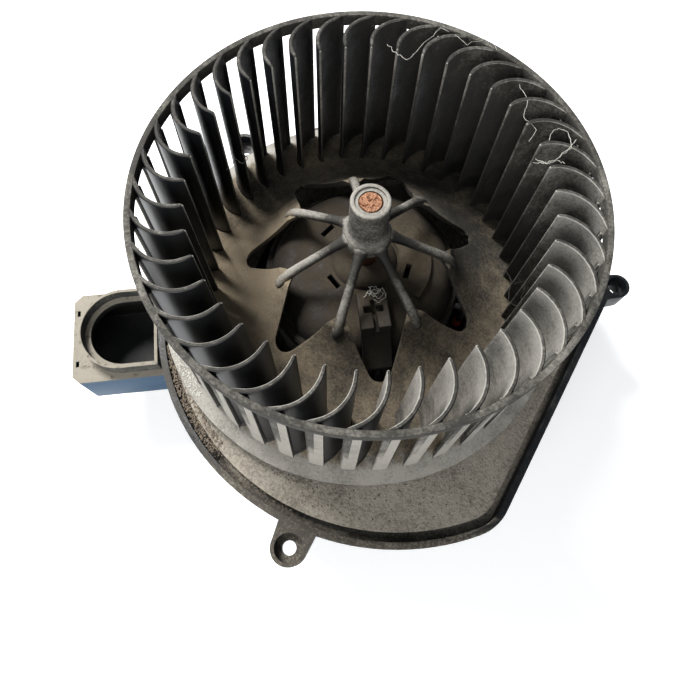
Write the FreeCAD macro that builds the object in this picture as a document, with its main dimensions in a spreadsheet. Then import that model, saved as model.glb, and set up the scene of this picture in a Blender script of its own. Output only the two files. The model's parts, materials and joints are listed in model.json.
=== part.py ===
import FreeCAD, Part
import Sketcher
import math
import os
import re
from FreeCAD import Placement, Rotation, Vector

# Car cabin blower motor: a caged centrifugal fan wheel over a D-shaped mounting
# plate, with a small direct-current motor in the plate's pot and a cooling-air
# duct with a D-shaped collar beside it.
#
# The frame has +Z up and its origin on the fan axis, in the plane of the base
# cover's flat underside. +X points at the mounting plate's straight edge.
# Lengths are millimetres and angles are degrees.

SIZES = [
    # Fan wheel, drops are measured down from the top of its rim
    ("wheel_radius", 75.0, "outside of the rim and of the blades"),
    ("wheel_clear", 42.0, "top of the rim above the motor's end bell"),
    ("ring_gap", 4.0, "lower ring above the mounting plate"),
    ("rim_wall", 3.4, "radial width of the rim"),
    ("rim_height", 4.0, "height of the rim"),
    ("rim_bevel", 0.5, "bevel on the rim's edges"),
    ("ring_radius", 80.4, "outside of the lower ring"),
    ("ring_drop", 65.0, "edge of the lower ring"),
    ("ring_lip", 2.0, "height of the lower ring's edge"),
    ("ring_edge_wall", 1.6, "wall of the lower ring's edge"),
    ("disc_wall", 1.8, "wall of the dished disc"),
    ("disc_edge_drop", 62.3, "disc face under the blades' outer faces"),
    ("disc_foot_radius", 57.0, "where the dish meets the flatter cone"),
    ("disc_foot_drop", 57.0, "disc face at that radius"),
    ("disc_foot_lean", 19.7, "slope of the dish at that radius"),
    ("dish_curve", 48.3, "radius of the dish in section"),
    ("petal_count", 7, "petals, spokes and windows"),
    ("petal_bend_radius", 31.3, "where the dish bends into the petals' flatter tips"),
    ("petal_bend_drop", 35.46, "disc face at that radius"),
    ("petal_lean", 60.3, "slope of the dish at that radius"),
    ("petal_tip_radius", 28.5, "inner ends of the petals, under the spokes"),
    ("petal_angle", 25.3, "direction of the first petal and spoke"),
    ("window_centre", 40.8, "centre of a window's round end"),
    ("window_end", 4.6, "radius of a window's round end"),
    ("window_taper", 26.0, "slope of a window's sides"),
    ("window_mouth", 22.0, "inner end of a window's straight sides"),
    ("blade_count", 41, "blades"),
    ("blade_phase", 6.6, "first blade's inner edge, from the first spoke"),
    ("blade_inner_radius", 56.7, "inner edges of the blades"),
    ("blade_wall", 1.3, "thickness of a blade"),
    ("blade_straight", 1.8, "radial run at a blade's inner edge"),
    ("blade_curve", 13.5, "radius of a blade's bend"),
    ("blade_turn", 79.0, "angle of a blade's bend"),
    ("blade_run", 9.0, "straight outer end of a blade before it is trimmed"),
    ("blade_crest", 2.2, "rise of the blades' inner corners over the rim"),
    ("blade_corner", 1.5, "bevel on the blades' inner top corners"),
    ("spoke_radius", 1.9, "radius of a rod spoke"),
    ("spoke_outer_radius", 32.4, "outer end of a spoke"),
    ("spoke_fall", 27.4, "slope of the spokes"),
    ("spoke_inner_drop", 20.5, "height of a spoke at the hub"),
    ("hub_radius", 6.65, "outside of the hub"),
    ("hub_drop", 3.1, "top face of the hub"),
    ("hub_bevel", 0.6, "bevel round the hub's top"),
    ("hub_neck_drop", 17.4, "lower end of the hub's straight side"),
    ("hub_flare_radius", 8.6, "collar that the spokes leave from"),
    ("hub_flare_drop", 20.5, "top of that collar"),
    ("hub_foot_drop", 25.6, "underside of the hub"),
    ("hub_step_radius", 5.2, "shallow step round the shaft's end"),
    ("hub_step_depth", 0.7, "depth of that step"),
    # Mounting plate
    ("flange_depth", 6.5, "height of the plate's edge"),
    ("flange_radius", 96.2, "round part of the outline"),
    ("flange_centre_x", 14.5, "centre of the round part"),
    ("flange_centre_y", 1.0, "centre of the round part"),
    ("flange_flat", 92.0, "straight edge, from the fan axis"),
    ("flange_corner", 20.0, "radius of the two corners"),
    ("lip_wall", 2.6, "outer wall of the groove"),
    ("groove_width", 3.4, "width of the groove"),
    ("groove_depth", 4.5, "depth of the groove"),
    ("groove_inner_wall", 2.0, "inner wall of the groove"),
    ("floor_wall", 2.5, "plate inside the groove"),
    ("rib_count", 12, "ribs under the plate"),
    ("rib_wall", 1.6, "thickness of a rib"),
    ("rib_reach", 77.0, "outer end of a rib"),
    ("lug_radius", 6.8, "outside of the front and left lugs"),
    ("lug_right_radius", 5.4, "outside of the right lug"),
    ("lug_height", 9.0, "height of a lug"),
    ("lug_hole_radius", 2.7, "screw hole in a lug"),
    ("lug_bore_radius", 5.3, "counterbore in the front and left lugs"),
    ("lug_right_bore", 4.1, "counterbore in the right lug"),
    ("lug_bore_depth", 4.5, "depth of the counterbore"),
    ("lug_root", 14.0, "length of a lug's neck"),
    ("lug_root_spread", 1.2, "half width of a lug's neck at its root, over the lug's"),
    ("lug_front_reach", 103.4, "front lug's hole from the outline's centre"),
    ("lug_front_angle", -82.3, "direction of the front lug"),
    ("lug_right_reach", 98.2, "right lug's hole from the outline's centre"),
    ("lug_right_angle", 36.8, "direction of the right lug"),
    ("lug_left_reach", 103.2, "left lug's hole from the outline's centre"),
    ("lug_left_angle", 160.0, "direction of the left lug"),
    ("pot_radius", 45.5, "inside of the motor pot"),
    ("pot_wall", 2.5, "wall of the motor pot"),
    ("fit_gap", 0.15, "clearance between pieces fitted together"),
    # Base cover and its screws
    ("cover_wall", 4.0, "thickness of the base cover"),
    ("ear_count", 3, "screwed ears on pot and cover"),
    ("ear_angle", 80.0, "direction of the first ear"),
    ("ear_centre", 51.5, "screw axis from the fan axis"),
    ("ear_radius", 4.6, "outside of an ear"),
    ("ear_height", 9.0, "height of the pot's ears"),
    ("screw_radius", 1.5, "screw shank"),
    ("screw_length", 9.0, "screw shank's length"),
    ("screw_head_radius", 3.0, "screw head"),
    ("screw_head_height", 1.8, "screw head's height"),
    ("screw_recess", 2.2, "depth of the recess for the head"),
    # Cooling-air duct
    ("duct_angle", 217.0, "direction of the duct from the fan axis"),
    ("duct_margin", 4.1, "duct's cover beyond the collar's round end"),
    ("duct_sides", 4.6, "duct's cover beyond the collar's sides, both together"),
    ("duct_offset", 6.1, "middle of the duct beside its direction"),
    ("duct_depth", 20.5, "height of the duct"),
    ("duct_wall", 2.0, "wall of the duct's tray"),
    ("duct_corner", 3.0, "bevel on the duct's outer corners"),
    ("lid_wall", 2.0, "thickness of the duct's cover"),
    ("collar_straight", 14.6, "straight run of the collar's sides"),
    ("collar_shift", 0.4, "middle of the collar beside the duct's middle"),
    ("collar_radius", 17.2, "outside of the collar's round end"),
    ("collar_wall", 1.3, "wall of the collar"),
    ("collar_ledge", 2.2, "ledge inside the collar's round end"),
    ("collar_flat_ledge", 0.4, "ledge inside the collar's straight side"),
    ("collar_ledge_drop", 5.0, "depth of that ledge"),
    ("snap_length", 2.4, "length of a snap slot"),
    ("snap_width", 1.2, "width of a snap slot"),
    ("snap_inset", 2.6, "snap slots from the duct's outer end"),
    ("snap_spread", 11.2, "half distance between the snap slots"),
    ("vent_height", 13.0, "height of the air window in the pot"),
    # Motor
    ("shaft_radius", 4.0, "motor shaft"),
    ("shaft_sink", 0.6, "shaft's end below the hub's top face"),
    ("shaft_end_gap", 0.4, "lower end of the shaft above its seat's floor"),
    ("shaft_bevel", 0.5, "bevel on the shaft's ends"),
    ("running_gap", 0.03, "radial clearance of the bearings on the shaft"),
    ("can_radius", 38.0, "outside of the motor's steel can"),
    ("can_wall", 1.6, "wall of the can"),
    ("can_foot", 12.0, "underside of the can"),
    ("can_height", 52.0, "height of the can, without its bearing seat"),
    ("can_bend", 3.0, "outer corner of the can's floor"),
    ("seat_depth", 7.0, "bearing seat below the can's floor"),
    ("bearing_radius", 7.6, "spherical bearing"),
    ("bearing_half", 3.5, "half the length of a bearing"),
    ("seat_radius", 9.0, "inside of a bearing seat"),
    ("seat_wall", 1.6, "wall of a bearing seat"),
    ("felt_half", 1.6, "half the height of an oil felt"),
    ("retainer_wall", 0.6, "thickness of a bearing retainer"),
    ("bell_rise", 16.0, "crown of the upper end bell above the can"),
    ("boss_rise", 4.0, "bearing boss above that crown"),
    ("bell_wall", 2.0, "wall of the end bell"),
    ("bell_edge", 4.5, "height of the end bell's straight edge"),
    ("bell_crown_radius", 26.0, "edge of its flatter crown"),
    ("bell_curve", 14.0, "radius of its rounded edge"),
    ("bell_dome_radius", 12.4, "foot of the rounded boss on the crown"),
    ("bell_dome_curve", 6.5, "radius of that rounding"),
    ("bell_pad_rise", 0.8, "raised field on the crown"),
    ("bell_pad_margin", 0.8, "field inside the crown's edge and outside the boss"),
    ("bell_pad_span", 92.0, "angle that the field covers"),
    ("bell_pad_turn", 38.0, "direction of its middle"),
    ("bell_slot_length", 6.0, "length of a slot in the end bell"),
    ("bell_slot_width", 2.0, "width of such a slot"),
    ("left_slot_radius", 18.6, "left slot from the axis"),
    ("left_slot_turn", 168.0, "direction of the left slot"),
    ("front_slot_radius", 14.4, "front slot from the axis"),
    ("front_slot_turn", -111.0, "direction of the front slot"),
    ("right_slot_radius", 16.7, "right slot from the axis"),
    ("right_slot_turn", 13.5, "direction of the right slot"),
    ("magnet_gap", 0.8, "air gap between armature and magnets"),
    ("magnet_inset", 6.0, "lower end of the magnets above the can's underside"),
    ("magnet_drop", 8.0, "upper end of the magnets below the can's open end"),
    ("magnet_span", 128.0, "angle that a magnet covers"),
    ("clip_side_gap", 8.0, "angle between a magnet and a clip"),
    ("clip_wall", 1.0, "thickness of a magnet clip"),
    ("brush_angle", 12.0, "direction of the first brush"),
    ("core_radius", 24.6, "armature core"),
    ("core_inset", 4.0, "magnets longer than the armature core at each end"),
    ("slot_count", 10, "winding slots in the core"),
    ("slot_radius", 3.2, "round bottom of a winding slot"),
    ("slot_centre", 18.4, "centre of that round"),
    ("slot_mouth", 2.2, "opening of a winding slot"),
    ("turn_height", 5.2, "height of the winding's end turns"),
    ("turn_outer", 22.4, "outside of the end turns"),
    ("turn_inner", 7.5, "inside of the end turns"),
    ("turn_bevel", 2.0, "rounding of the end turns"),
    ("wire_gap", 0.25, "winding clear of its slot"),
    ("commutator_radius", 11.0, "commutator's running face"),
    ("commutator_below", 2.0, "commutator below the brush card"),
    ("commutator_above", 11.5, "commutator's upper end above the card's underside"),
    ("riser_radius", 12.4, "commutator's riser for the wires"),
    ("riser_height", 1.6, "height of the riser"),
    ("bar_gap", 0.6, "gap between commutator bars"),
    ("bar_depth", 1.2, "depth of that gap"),
    ("thrust_radius", 5.6, "thrust collars"),
    ("end_play", 0.3, "thrust collars clear of the bearings"),
    ("retainer_hole", 6.2, "hole in a bearing retainer"),
    ("card_drop", 4.0, "underside of the brush card below the can's open end"),
    ("card_wall", 1.8, "thickness of the brush card"),
    ("card_hole", 14.2, "hole in the brush card"),
    ("brush_width", 5.5, "width of a brush"),
    ("brush_height", 7.0, "height of a brush"),
    ("brush_length", 10.5, "length of a brush"),
    ("brush_gap", 0.1, "brush clear of the commutator"),
    ("holder_wall", 1.2, "wall of a brush holder"),
    ("spring_wall", 0.5, "thickness of a brush spring"),
    ("choke_radius", 2.4, "choke coil"),
    ("choke_core_radius", 1.4, "choke's ferrite core"),
    ("choke_length", 13.0, "length of a choke"),
    ("choke_angle", 34.0, "chokes from the lead guide's direction"),
    ("choke_centre", 26.0, "chokes from the fan axis"),
    # Lead guide, connector and leads
    ("guide_angle", -51.7, "direction of lead guide and connector"),
    ("guide_half", 5.4, "half width of the lead guide"),
    ("guide_inner", 14.5, "inner end of the lead guide"),
    ("guide_block", 29.0, "outer end of its block"),
    ("guide_rise", 4.0, "block above the end bell's crown"),
    ("guide_wall", 1.8, "wall of its channel"),
    ("guide_drop", 6.0, "lower end of its channel below the can's open end"),
    ("cross_half", 3.6, "half length of its cross-shaped slot"),
    ("cross_width", 2.4, "width of that slot"),
    ("socket_length", 17.0, "connector outside the pot"),
    ("socket_half", 9.0, "half width of the connector"),
    ("socket_foot", 16.0, "underside of the connector"),
    ("socket_height", 14.0, "height of the connector"),
    ("socket_wall", 1.6, "wall of the connector"),
    ("socket_flange", 2.0, "back wall of the connector"),
    ("neck_half", 7.0, "half width of the connector's neck"),
    ("neck_inset", 3.0, "connector's neck above its underside"),
    ("blade_pitch", 4.0, "terminal blades from the connector's middle"),
    ("terminal_wall", 0.8, "thickness of a terminal blade"),
    ("terminal_height", 6.3, "width of a terminal blade"),
    ("terminal_tip", 12.0, "terminal blade in front of the back wall"),
    ("lead_radius", 1.3, "insulated lead"),
    ("lead_track", 41.9, "lead's run between can and pot, from the axis"),
    ("lead_rise", 2.0, "leads above the can's open end where they cross it"),
    ("lead_drop", 24.0, "level run of the positive lead below the can's open end"),
    ("sleeve_radius", 1.8, "coloured sleeve on the positive lead"),
    ("sleeve_drop", 13.4, "lower end of the sleeve below the can's open end"),
    ("sleeve_length", 4.6, "length of the sleeve"),
    ("lead_bend", 2.6, "bend radius of the leads"),
    ("lead_inset", 6.5, "where the leads leave the brush card, inside the can's wall"),
    ("lead_clip", 2.5, "where they reach their full height, inside the can's wall"),
    ("lead_ramp", 6.0, "height over which the positive lead turns to its level run"),
    ("lead_tail", 10.0, "straight end of a lead above its terminal"),
    # Rubber mounts
    ("mount_count", 3, "rubber mounts"),
    ("mount_angle", 20.0, "direction of the first rubber mount"),
    ("mount_span", 28.0, "angle that a rubber mount covers"),
    ("mount_inner", 31.0, "inner edge of a rubber mount's foot"),
    ("mount_rise", 21.0, "upper end of a rubber mount above the can's underside"),
]

# Cells that follow from the driving dimensions
FOLLOWING = [
    ("can_top", "can_foot + can_height", "open end of the can"),
    ("bell_shoulder", "can_top + bell_edge", "shoulder of the end bell"),
    ("bell_top", "can_top + bell_rise", "crown of the end bell"),
    ("bell_boss_top", "bell_top + boss_rise", "top of its bearing boss"),
    ("wheel_top", "bell_top + wheel_clear", "top of the rim"),
    ("plate_top", "wheel_top - ring_drop - ring_lip - ring_gap", "top face of the plate"),
    ("shaft_foot", "can_foot - seat_depth + seat_wall + shaft_end_gap", "lower end of the shaft"),
    ("magnet_foot", "can_foot + magnet_inset", "lower end of the magnets"),
    ("magnet_top", "can_top - magnet_drop", "upper end of the magnets"),
    ("clip_span", "180 - magnet_span - 2 * clip_side_gap", "angle that a magnet clip covers"),
    ("core_foot", "magnet_foot + core_inset", "lower end of the armature core"),
    ("core_top", "magnet_top - core_inset", "upper end of the armature core"),
    ("card_foot", "can_top - card_drop", "underside of the brush card"),
    ("commutator_foot", "card_foot - commutator_below", "lower end of the commutator"),
    ("commutator_top", "card_foot + commutator_above", "upper end of the commutator"),
    ("guide_foot", "can_top - guide_drop", "lower end of the lead guide"),
    ("lead_height", "can_top + lead_rise", "leads where they cross the can's edge"),
    ("lead_level", "can_top - lead_drop", "level run of the positive lead"),
    ("sleeve_foot", "can_top - sleeve_drop", "lower end of the coloured sleeve"),
    ("mount_top", "can_foot + mount_rise", "upper end of the rubber mounts"),
    ("flange_side", "flange_radius + flange_centre_x * cos(duct_angle) + flange_centre_y * sin(duct_angle)",
     "plate's edge in the duct's direction"),
    ("collar_flat", "flange_side + 2 * fit_gap", "straight side of the collar"),
    ("collar_centre", "collar_flat + collar_straight", "centre of the collar's round end"),
    ("collar_offset", "duct_offset - collar_shift", "middle of the collar beside the duct's direction"),
    ("duct_reach", "collar_centre + collar_radius + duct_margin", "outer end of the duct"),
    ("duct_width", "2 * collar_radius + duct_sides", "width of the duct"),
]

NAMES = {name for name, _, _ in SIZES + FOLLOWING}

# Heights and radii that are used as they stand
FLANGE_FOOT = "plate_top - flange_depth"
POT_OUTER = "pot_radius + pot_wall"
LID_FOOT = "plate_top - flange_depth - lid_wall"
TRAY_FOOT = "plate_top - flange_depth - duct_depth"
CAN_INNER = "can_radius - can_wall"
CARD_TOP = "card_foot + card_wall"
UPPER_SEAT_TOP = "bell_boss_top - seat_wall"
UPPER_BEARING = "bell_boss_top - seat_wall - bearing_half"
LOWER_BEARING = "can_foot - seat_depth + seat_wall + bearing_half"
GUIDE_TOP = "bell_top + guide_rise"
BRUSH_LEVEL = "card_foot + card_wall + holder_wall"
HOLDER_START = "commutator_radius + brush_gap + 2.5"
HOLDER_END = f"{HOLDER_START} + brush_length + 1"
SHAFT_TOP = "wheel_top - hub_drop - shaft_sink"

doc = FreeCAD.newDocument("CabinBlower")
sheet = doc.addObject("Spreadsheet::Sheet", "sizes")


def fill_sheet():
    """Writes every dimension to the sheet, with its name as alias."""
    formulas = [(name, "=" + text, meaning) for name, text, meaning in FOLLOWING]
    for row, (name, value, meaning) in enumerate(SIZES + formulas, start=1):
        sheet.set(f"A{row}", name)
        sheet.setAlias(f"B{row}", name)
        sheet.set(f"B{row}", str(value))
        sheet.set(f"C{row}", meaning)
    doc.recompute()


def bound(text):
    """The expression text with every size name pointing at the sheet."""
    return re.sub(r"[a-z_]+", lambda m: "sizes." + m.group(0) if m.group(0) in NAMES else m.group(0), text)


def size(text):
    """The present value of an expression of size names."""
    return float(sheet.evalExpression(text))


def bind(item, prop, text):
    """Ties a property to an expression of size names."""
    item.setExpression(prop, bound(text))


def place(item, lift="0", turn="0"):
    """Puts a sub-part at its height, turned about the vertical."""
    item.Placement = Placement(Vector(0, 0, size(lift)), Rotation(Vector(0, 0, 1), size(turn)))
    bind(item, "Placement.Base.z", lift)
    return item


# Sketches, each point is a pair of expressions

def new_body(label):
    """A body whose label is its sub-part's name."""
    body = doc.addObject("PartDesign::Body", label)
    body.Label = label
    return body


def sketch_on(body, name, plane="XY_Plane", lift="0", turn="0"):
    """An empty sketch on one of the body's own origin planes."""
    sketch = body.newObject("Sketcher::SketchObject", name)
    support = next(item for item in body.Origin.OriginFeatures if item.Role == plane)
    sketch.AttachmentSupport = [(support, "")]
    sketch.MapMode = "FlatFace"
    sketch.AttachmentOffset = Placement(Vector(0, 0, size(lift)), Rotation(Vector(0, 0, 1), size(turn)))
    bind(sketch, "AttachmentOffset.Base.z", lift)
    return sketch


def pin(sketch, kind, edge, end, text):
    """Fixes one coordinate of an edge's end by an expression."""
    index = sketch.addConstraint(Sketcher.Constraint(kind, -1, 1, edge, end, size(text)))
    sketch.setExpression(f"Constraints[{index}]", bound(text))


def pin_point(sketch, edge, end, x, y):
    """Fixes an edge's end at a pair of expressions."""
    pin(sketch, "DistanceX", edge, end, x)
    pin(sketch, "DistanceY", edge, end, y)


def pin_radius(sketch, edge, text):
    """Fixes an arc's or a circle's radius by an expression."""
    index = sketch.addConstraint(Sketcher.Constraint("Radius", edge, size(text)))
    sketch.setExpression(f"Constraints[{index}]", bound(text))


def arc_between(start, finish, radius, turn):
    """The minor arc from start to finish that turns left or right."""
    chord = finish - start
    half = chord.Length / 2
    left = Vector(-chord.y, chord.x, 0).normalize()
    side = 1 if turn == "left" else -1
    centre = (start + finish) * 0.5 + left * (side * math.sqrt(max(radius ** 2 - half ** 2, 0)))
    circle = Part.Circle(centre, Vector(0, 0, 1), radius)
    first, last = (start, finish) if turn == "left" else (finish, start)
    angles = [math.atan2(point.y - centre.y, point.x - centre.x) for point in (first, last)]
    return Part.ArcOfCircle(circle, angles[0], angles[1])


def draw(sketch, points):
    """A closed outline. A point with a radius and a turn starts an arc.

    The turn is left or right, or half for a left half circle that runs from
    its lowest to its highest point.
    """
    places = [Vector(size(point[0]), size(point[1]), 0) for point in points]
    halves = [len(point) == 4 and point[3] == "half" for point in points]
    ends = []
    for index, point in enumerate(points):
        start, finish = places[index], places[(index + 1) % len(points)]
        if len(point) == 4:
            turn = "right" if point[3] == "right" else "left"
            edge = sketch.addGeometry(arc_between(start, finish, size(point[2]), turn))
            ends.append((edge, 1, 2) if turn == "left" else (edge, 2, 1))
        else:
            edge = sketch.addGeometry(Part.LineSegment(start, finish))
            ends.append((edge, 1, 2))
    for index, (edge, _, last) in enumerate(ends):
        other, first, _ = ends[(index + 1) % len(ends)]
        sketch.addConstraint(Sketcher.Constraint("Coincident", edge, last, other, first))
    for index, ((edge, first, _), point) in enumerate(zip(ends, points)):
        pin(sketch, "DistanceX", edge, first, point[0])
        if not halves[index] and not halves[index - 1]:
            pin(sketch, "DistanceY", edge, first, point[1])
        if len(point) == 4:
            pin_radius(sketch, edge, point[2])
        if halves[index]:
            pin_point(sketch, edge, 3, point[0], f"{point[1]} + {point[2]}")
    return sketch


def circle(sketch, x, y, radius):
    """A circle of the sketch."""
    edge = sketch.addGeometry(Part.Circle(Vector(size(x), size(y), 0), Vector(0, 0, 1), size(radius)))
    pin_point(sketch, edge, 3, x, y)
    pin_radius(sketch, edge, radius)
    return sketch


def rectangle(sketch, x_low, x_high, y_low, y_high):
    """A rectangle of the sketch, from its low and high sides."""
    return draw(sketch, [(x_low, y_low), (x_high, y_low), (x_high, y_high), (x_low, y_high)])


def sector(sketch, inner, outer, span):
    """A sector of a ring about the X axis of the sketch."""
    half = f"({span}) / 2"
    return draw(sketch, [
        (f"({inner}) * cos({half})", f"-({inner}) * sin({half})"),
        (f"({outer}) * cos({half})", f"-({outer}) * sin({half})", outer, "left"),
        (f"({outer}) * cos({half})", f"({outer}) * sin({half})"),
        (f"({inner}) * cos({half})", f"({inner}) * sin({half})", inner, "right"),
    ])


# Features, a cut is compared with the volume before it

def revolve(body, name, points):
    """Turns a profile in the XZ plane a full turn about the vertical."""
    feature = body.newObject("PartDesign::Revolution", name)
    feature.Profile = draw(sketch_on(body, name + "_profile", "XZ_Plane"), points)
    feature.ReferenceAxis = (feature.Profile[0], ["V_Axis"])
    feature.Angle = 360
    return feature


def pad(body, sketch, name, length):
    """Adds the sketch's area up to a height."""
    feature = body.newObject("PartDesign::Pad", name)
    feature.Profile = sketch
    bind(feature, "Length", length)
    return feature


def settle():
    """Recomputes and stops at the first object that failed."""
    doc.recompute()
    for item in doc.Objects:
        if "Invalid" in item.State or "Error" in item.State:
            raise RuntimeError(f"{item.Name} failed: {item.State}")


def cut_check(body, feature, before):
    """Stops if a cut took nothing away."""
    settle()
    if not body.Shape.Volume < before - 0.01:
        raise RuntimeError(f"{feature.Name} cut nothing")
    return feature


def pocket(body, sketch, name, depth):
    """Cuts the sketch's area downwards from its plane."""
    settle()
    before = body.Shape.Volume
    feature = body.newObject("PartDesign::Pocket", name)
    feature.Profile = sketch
    feature.Reversed = False
    bind(feature, "Length", depth)
    return cut_check(body, feature, before)


def groove(body, name, points):
    """Cuts a profile in the XZ plane all the way round."""
    settle()
    before = body.Shape.Volume
    feature = body.newObject("PartDesign::Groove", name)
    feature.Profile = draw(sketch_on(body, name + "_profile", "XZ_Plane"), points)
    feature.ReferenceAxis = (feature.Profile[0], ["V_Axis"])
    feature.Angle = 360
    return cut_check(body, feature, before)


def repeat(body, feature, name, count):
    """Repeats a feature evenly about the vertical."""
    pattern = body.newObject("PartDesign::PolarPattern", name)
    pattern.Originals = [feature]
    axis = next(item for item in body.Origin.OriginFeatures if item.Role == "Z_Axis")
    pattern.Axis = (axis, [""])
    pattern.Angle = 360
    bind(pattern, "Occurrences", count)
    body.Tip = pattern
    return pattern


def turned(label, points, lift="0"):
    """A sub-part that is one turned profile."""
    body = new_body(label)
    revolve(body, label + "_turning", points)
    return place(body, lift)


# Plain solids and booleans

def block(name, x, y, z):
    """A box between low and high expressions along each axis."""
    item = doc.addObject("Part::Box", name)
    for prop, axis, (low, high) in (("Length", "x", x), ("Width", "y", y), ("Height", "z", z)):
        bind(item, prop, f"({high}) - ({low})")
        bind(item, f"Placement.Base.{axis}", low)
    return item


def drum(name, radius, z):
    """A cylinder about the vertical axis."""
    item = doc.addObject("Part::Cylinder", name)
    bind(item, "Radius", radius)
    bind(item, "Height", f"({z[1]}) - ({z[0]})")
    bind(item, "Placement.Base.z", z[0])
    return item


def fused(name, items):
    """Items joined to one solid."""
    item = doc.addObject("Part::MultiFuse", name)
    item.Shapes = items
    item.Label = name
    return item


def cut(name, base, tool):
    """A base with a tool taken away, which has to take something away."""
    item = doc.addObject("Part::Cut", name)
    item.Base = base
    item.Tool = tool
    item.Label = name
    doc.recompute()
    if not item.Shape.Volume < base.Shape.Volume - 0.01:
        raise RuntimeError(f"{name} cut nothing")
    return item


# Fan wheel, one moulding, its own origin is at the middle of the rim's top

BLADE_BEND = "blade_inner_radius + blade_straight"
CONVEX = "(blade_curve + blade_wall / 2)"
CONCAVE = "(blade_curve - blade_wall / 2)"
TIP_TOP = "-petal_bend_drop + (petal_bend_radius - petal_tip_radius) * tan(spoke_fall)"
TIP_FOOT = f"{TIP_TOP} - disc_wall / cos(spoke_fall)"
DISH_UNDER_BEND = (
    "petal_bend_radius - disc_wall * sin(petal_lean)",
    "-petal_bend_drop - disc_wall * cos(petal_lean)",
)
DISH_UNDER_FOOT = (
    "disc_foot_radius - disc_wall * sin(disc_foot_lean)",
    "-disc_foot_drop - disc_wall * cos(disc_foot_lean)",
)
WHEEL_FOOT = "-ring_drop - ring_lip"


def blade_outline():
    """A blade's section: radial at its inner edge, bent back to the rim."""
    turned_x = BLADE_BEND + " + {0} * sin(blade_turn)"
    turned_y = "-blade_curve + {0} * cos(blade_turn)"
    run_x = " + blade_run * cos(blade_turn)"
    run_y = " - blade_run * sin(blade_turn)"
    return [
        ("blade_inner_radius", "blade_wall / 2"),
        (BLADE_BEND, "blade_wall / 2", CONVEX, "right"),
        (turned_x.format(CONVEX), turned_y.format(CONVEX)),
        (turned_x.format(CONVEX) + run_x, turned_y.format(CONVEX) + run_y),
        (turned_x.format(CONCAVE) + run_x, turned_y.format(CONCAVE) + run_y),
        (turned_x.format(CONCAVE), turned_y.format(CONCAVE), CONCAVE, "left"),
        (BLADE_BEND, "-blade_wall / 2"),
        ("blade_inner_radius", "-blade_wall / 2"),
    ]


def window_outline():
    """A window between two petals: tapered sides and a round outer end."""
    end_x = "window_centre + window_end * sin(window_taper)"
    end_y = "window_end * cos(window_taper)"
    mouth_y = f"({end_y} + ({end_x} - window_mouth) * tan(window_taper))"
    return [
        ("window_mouth", f"-{mouth_y}"),
        (end_x, f"-{end_y}", "window_end", "left"),
        (end_x, end_y),
        ("window_mouth", mouth_y),
    ]


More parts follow.
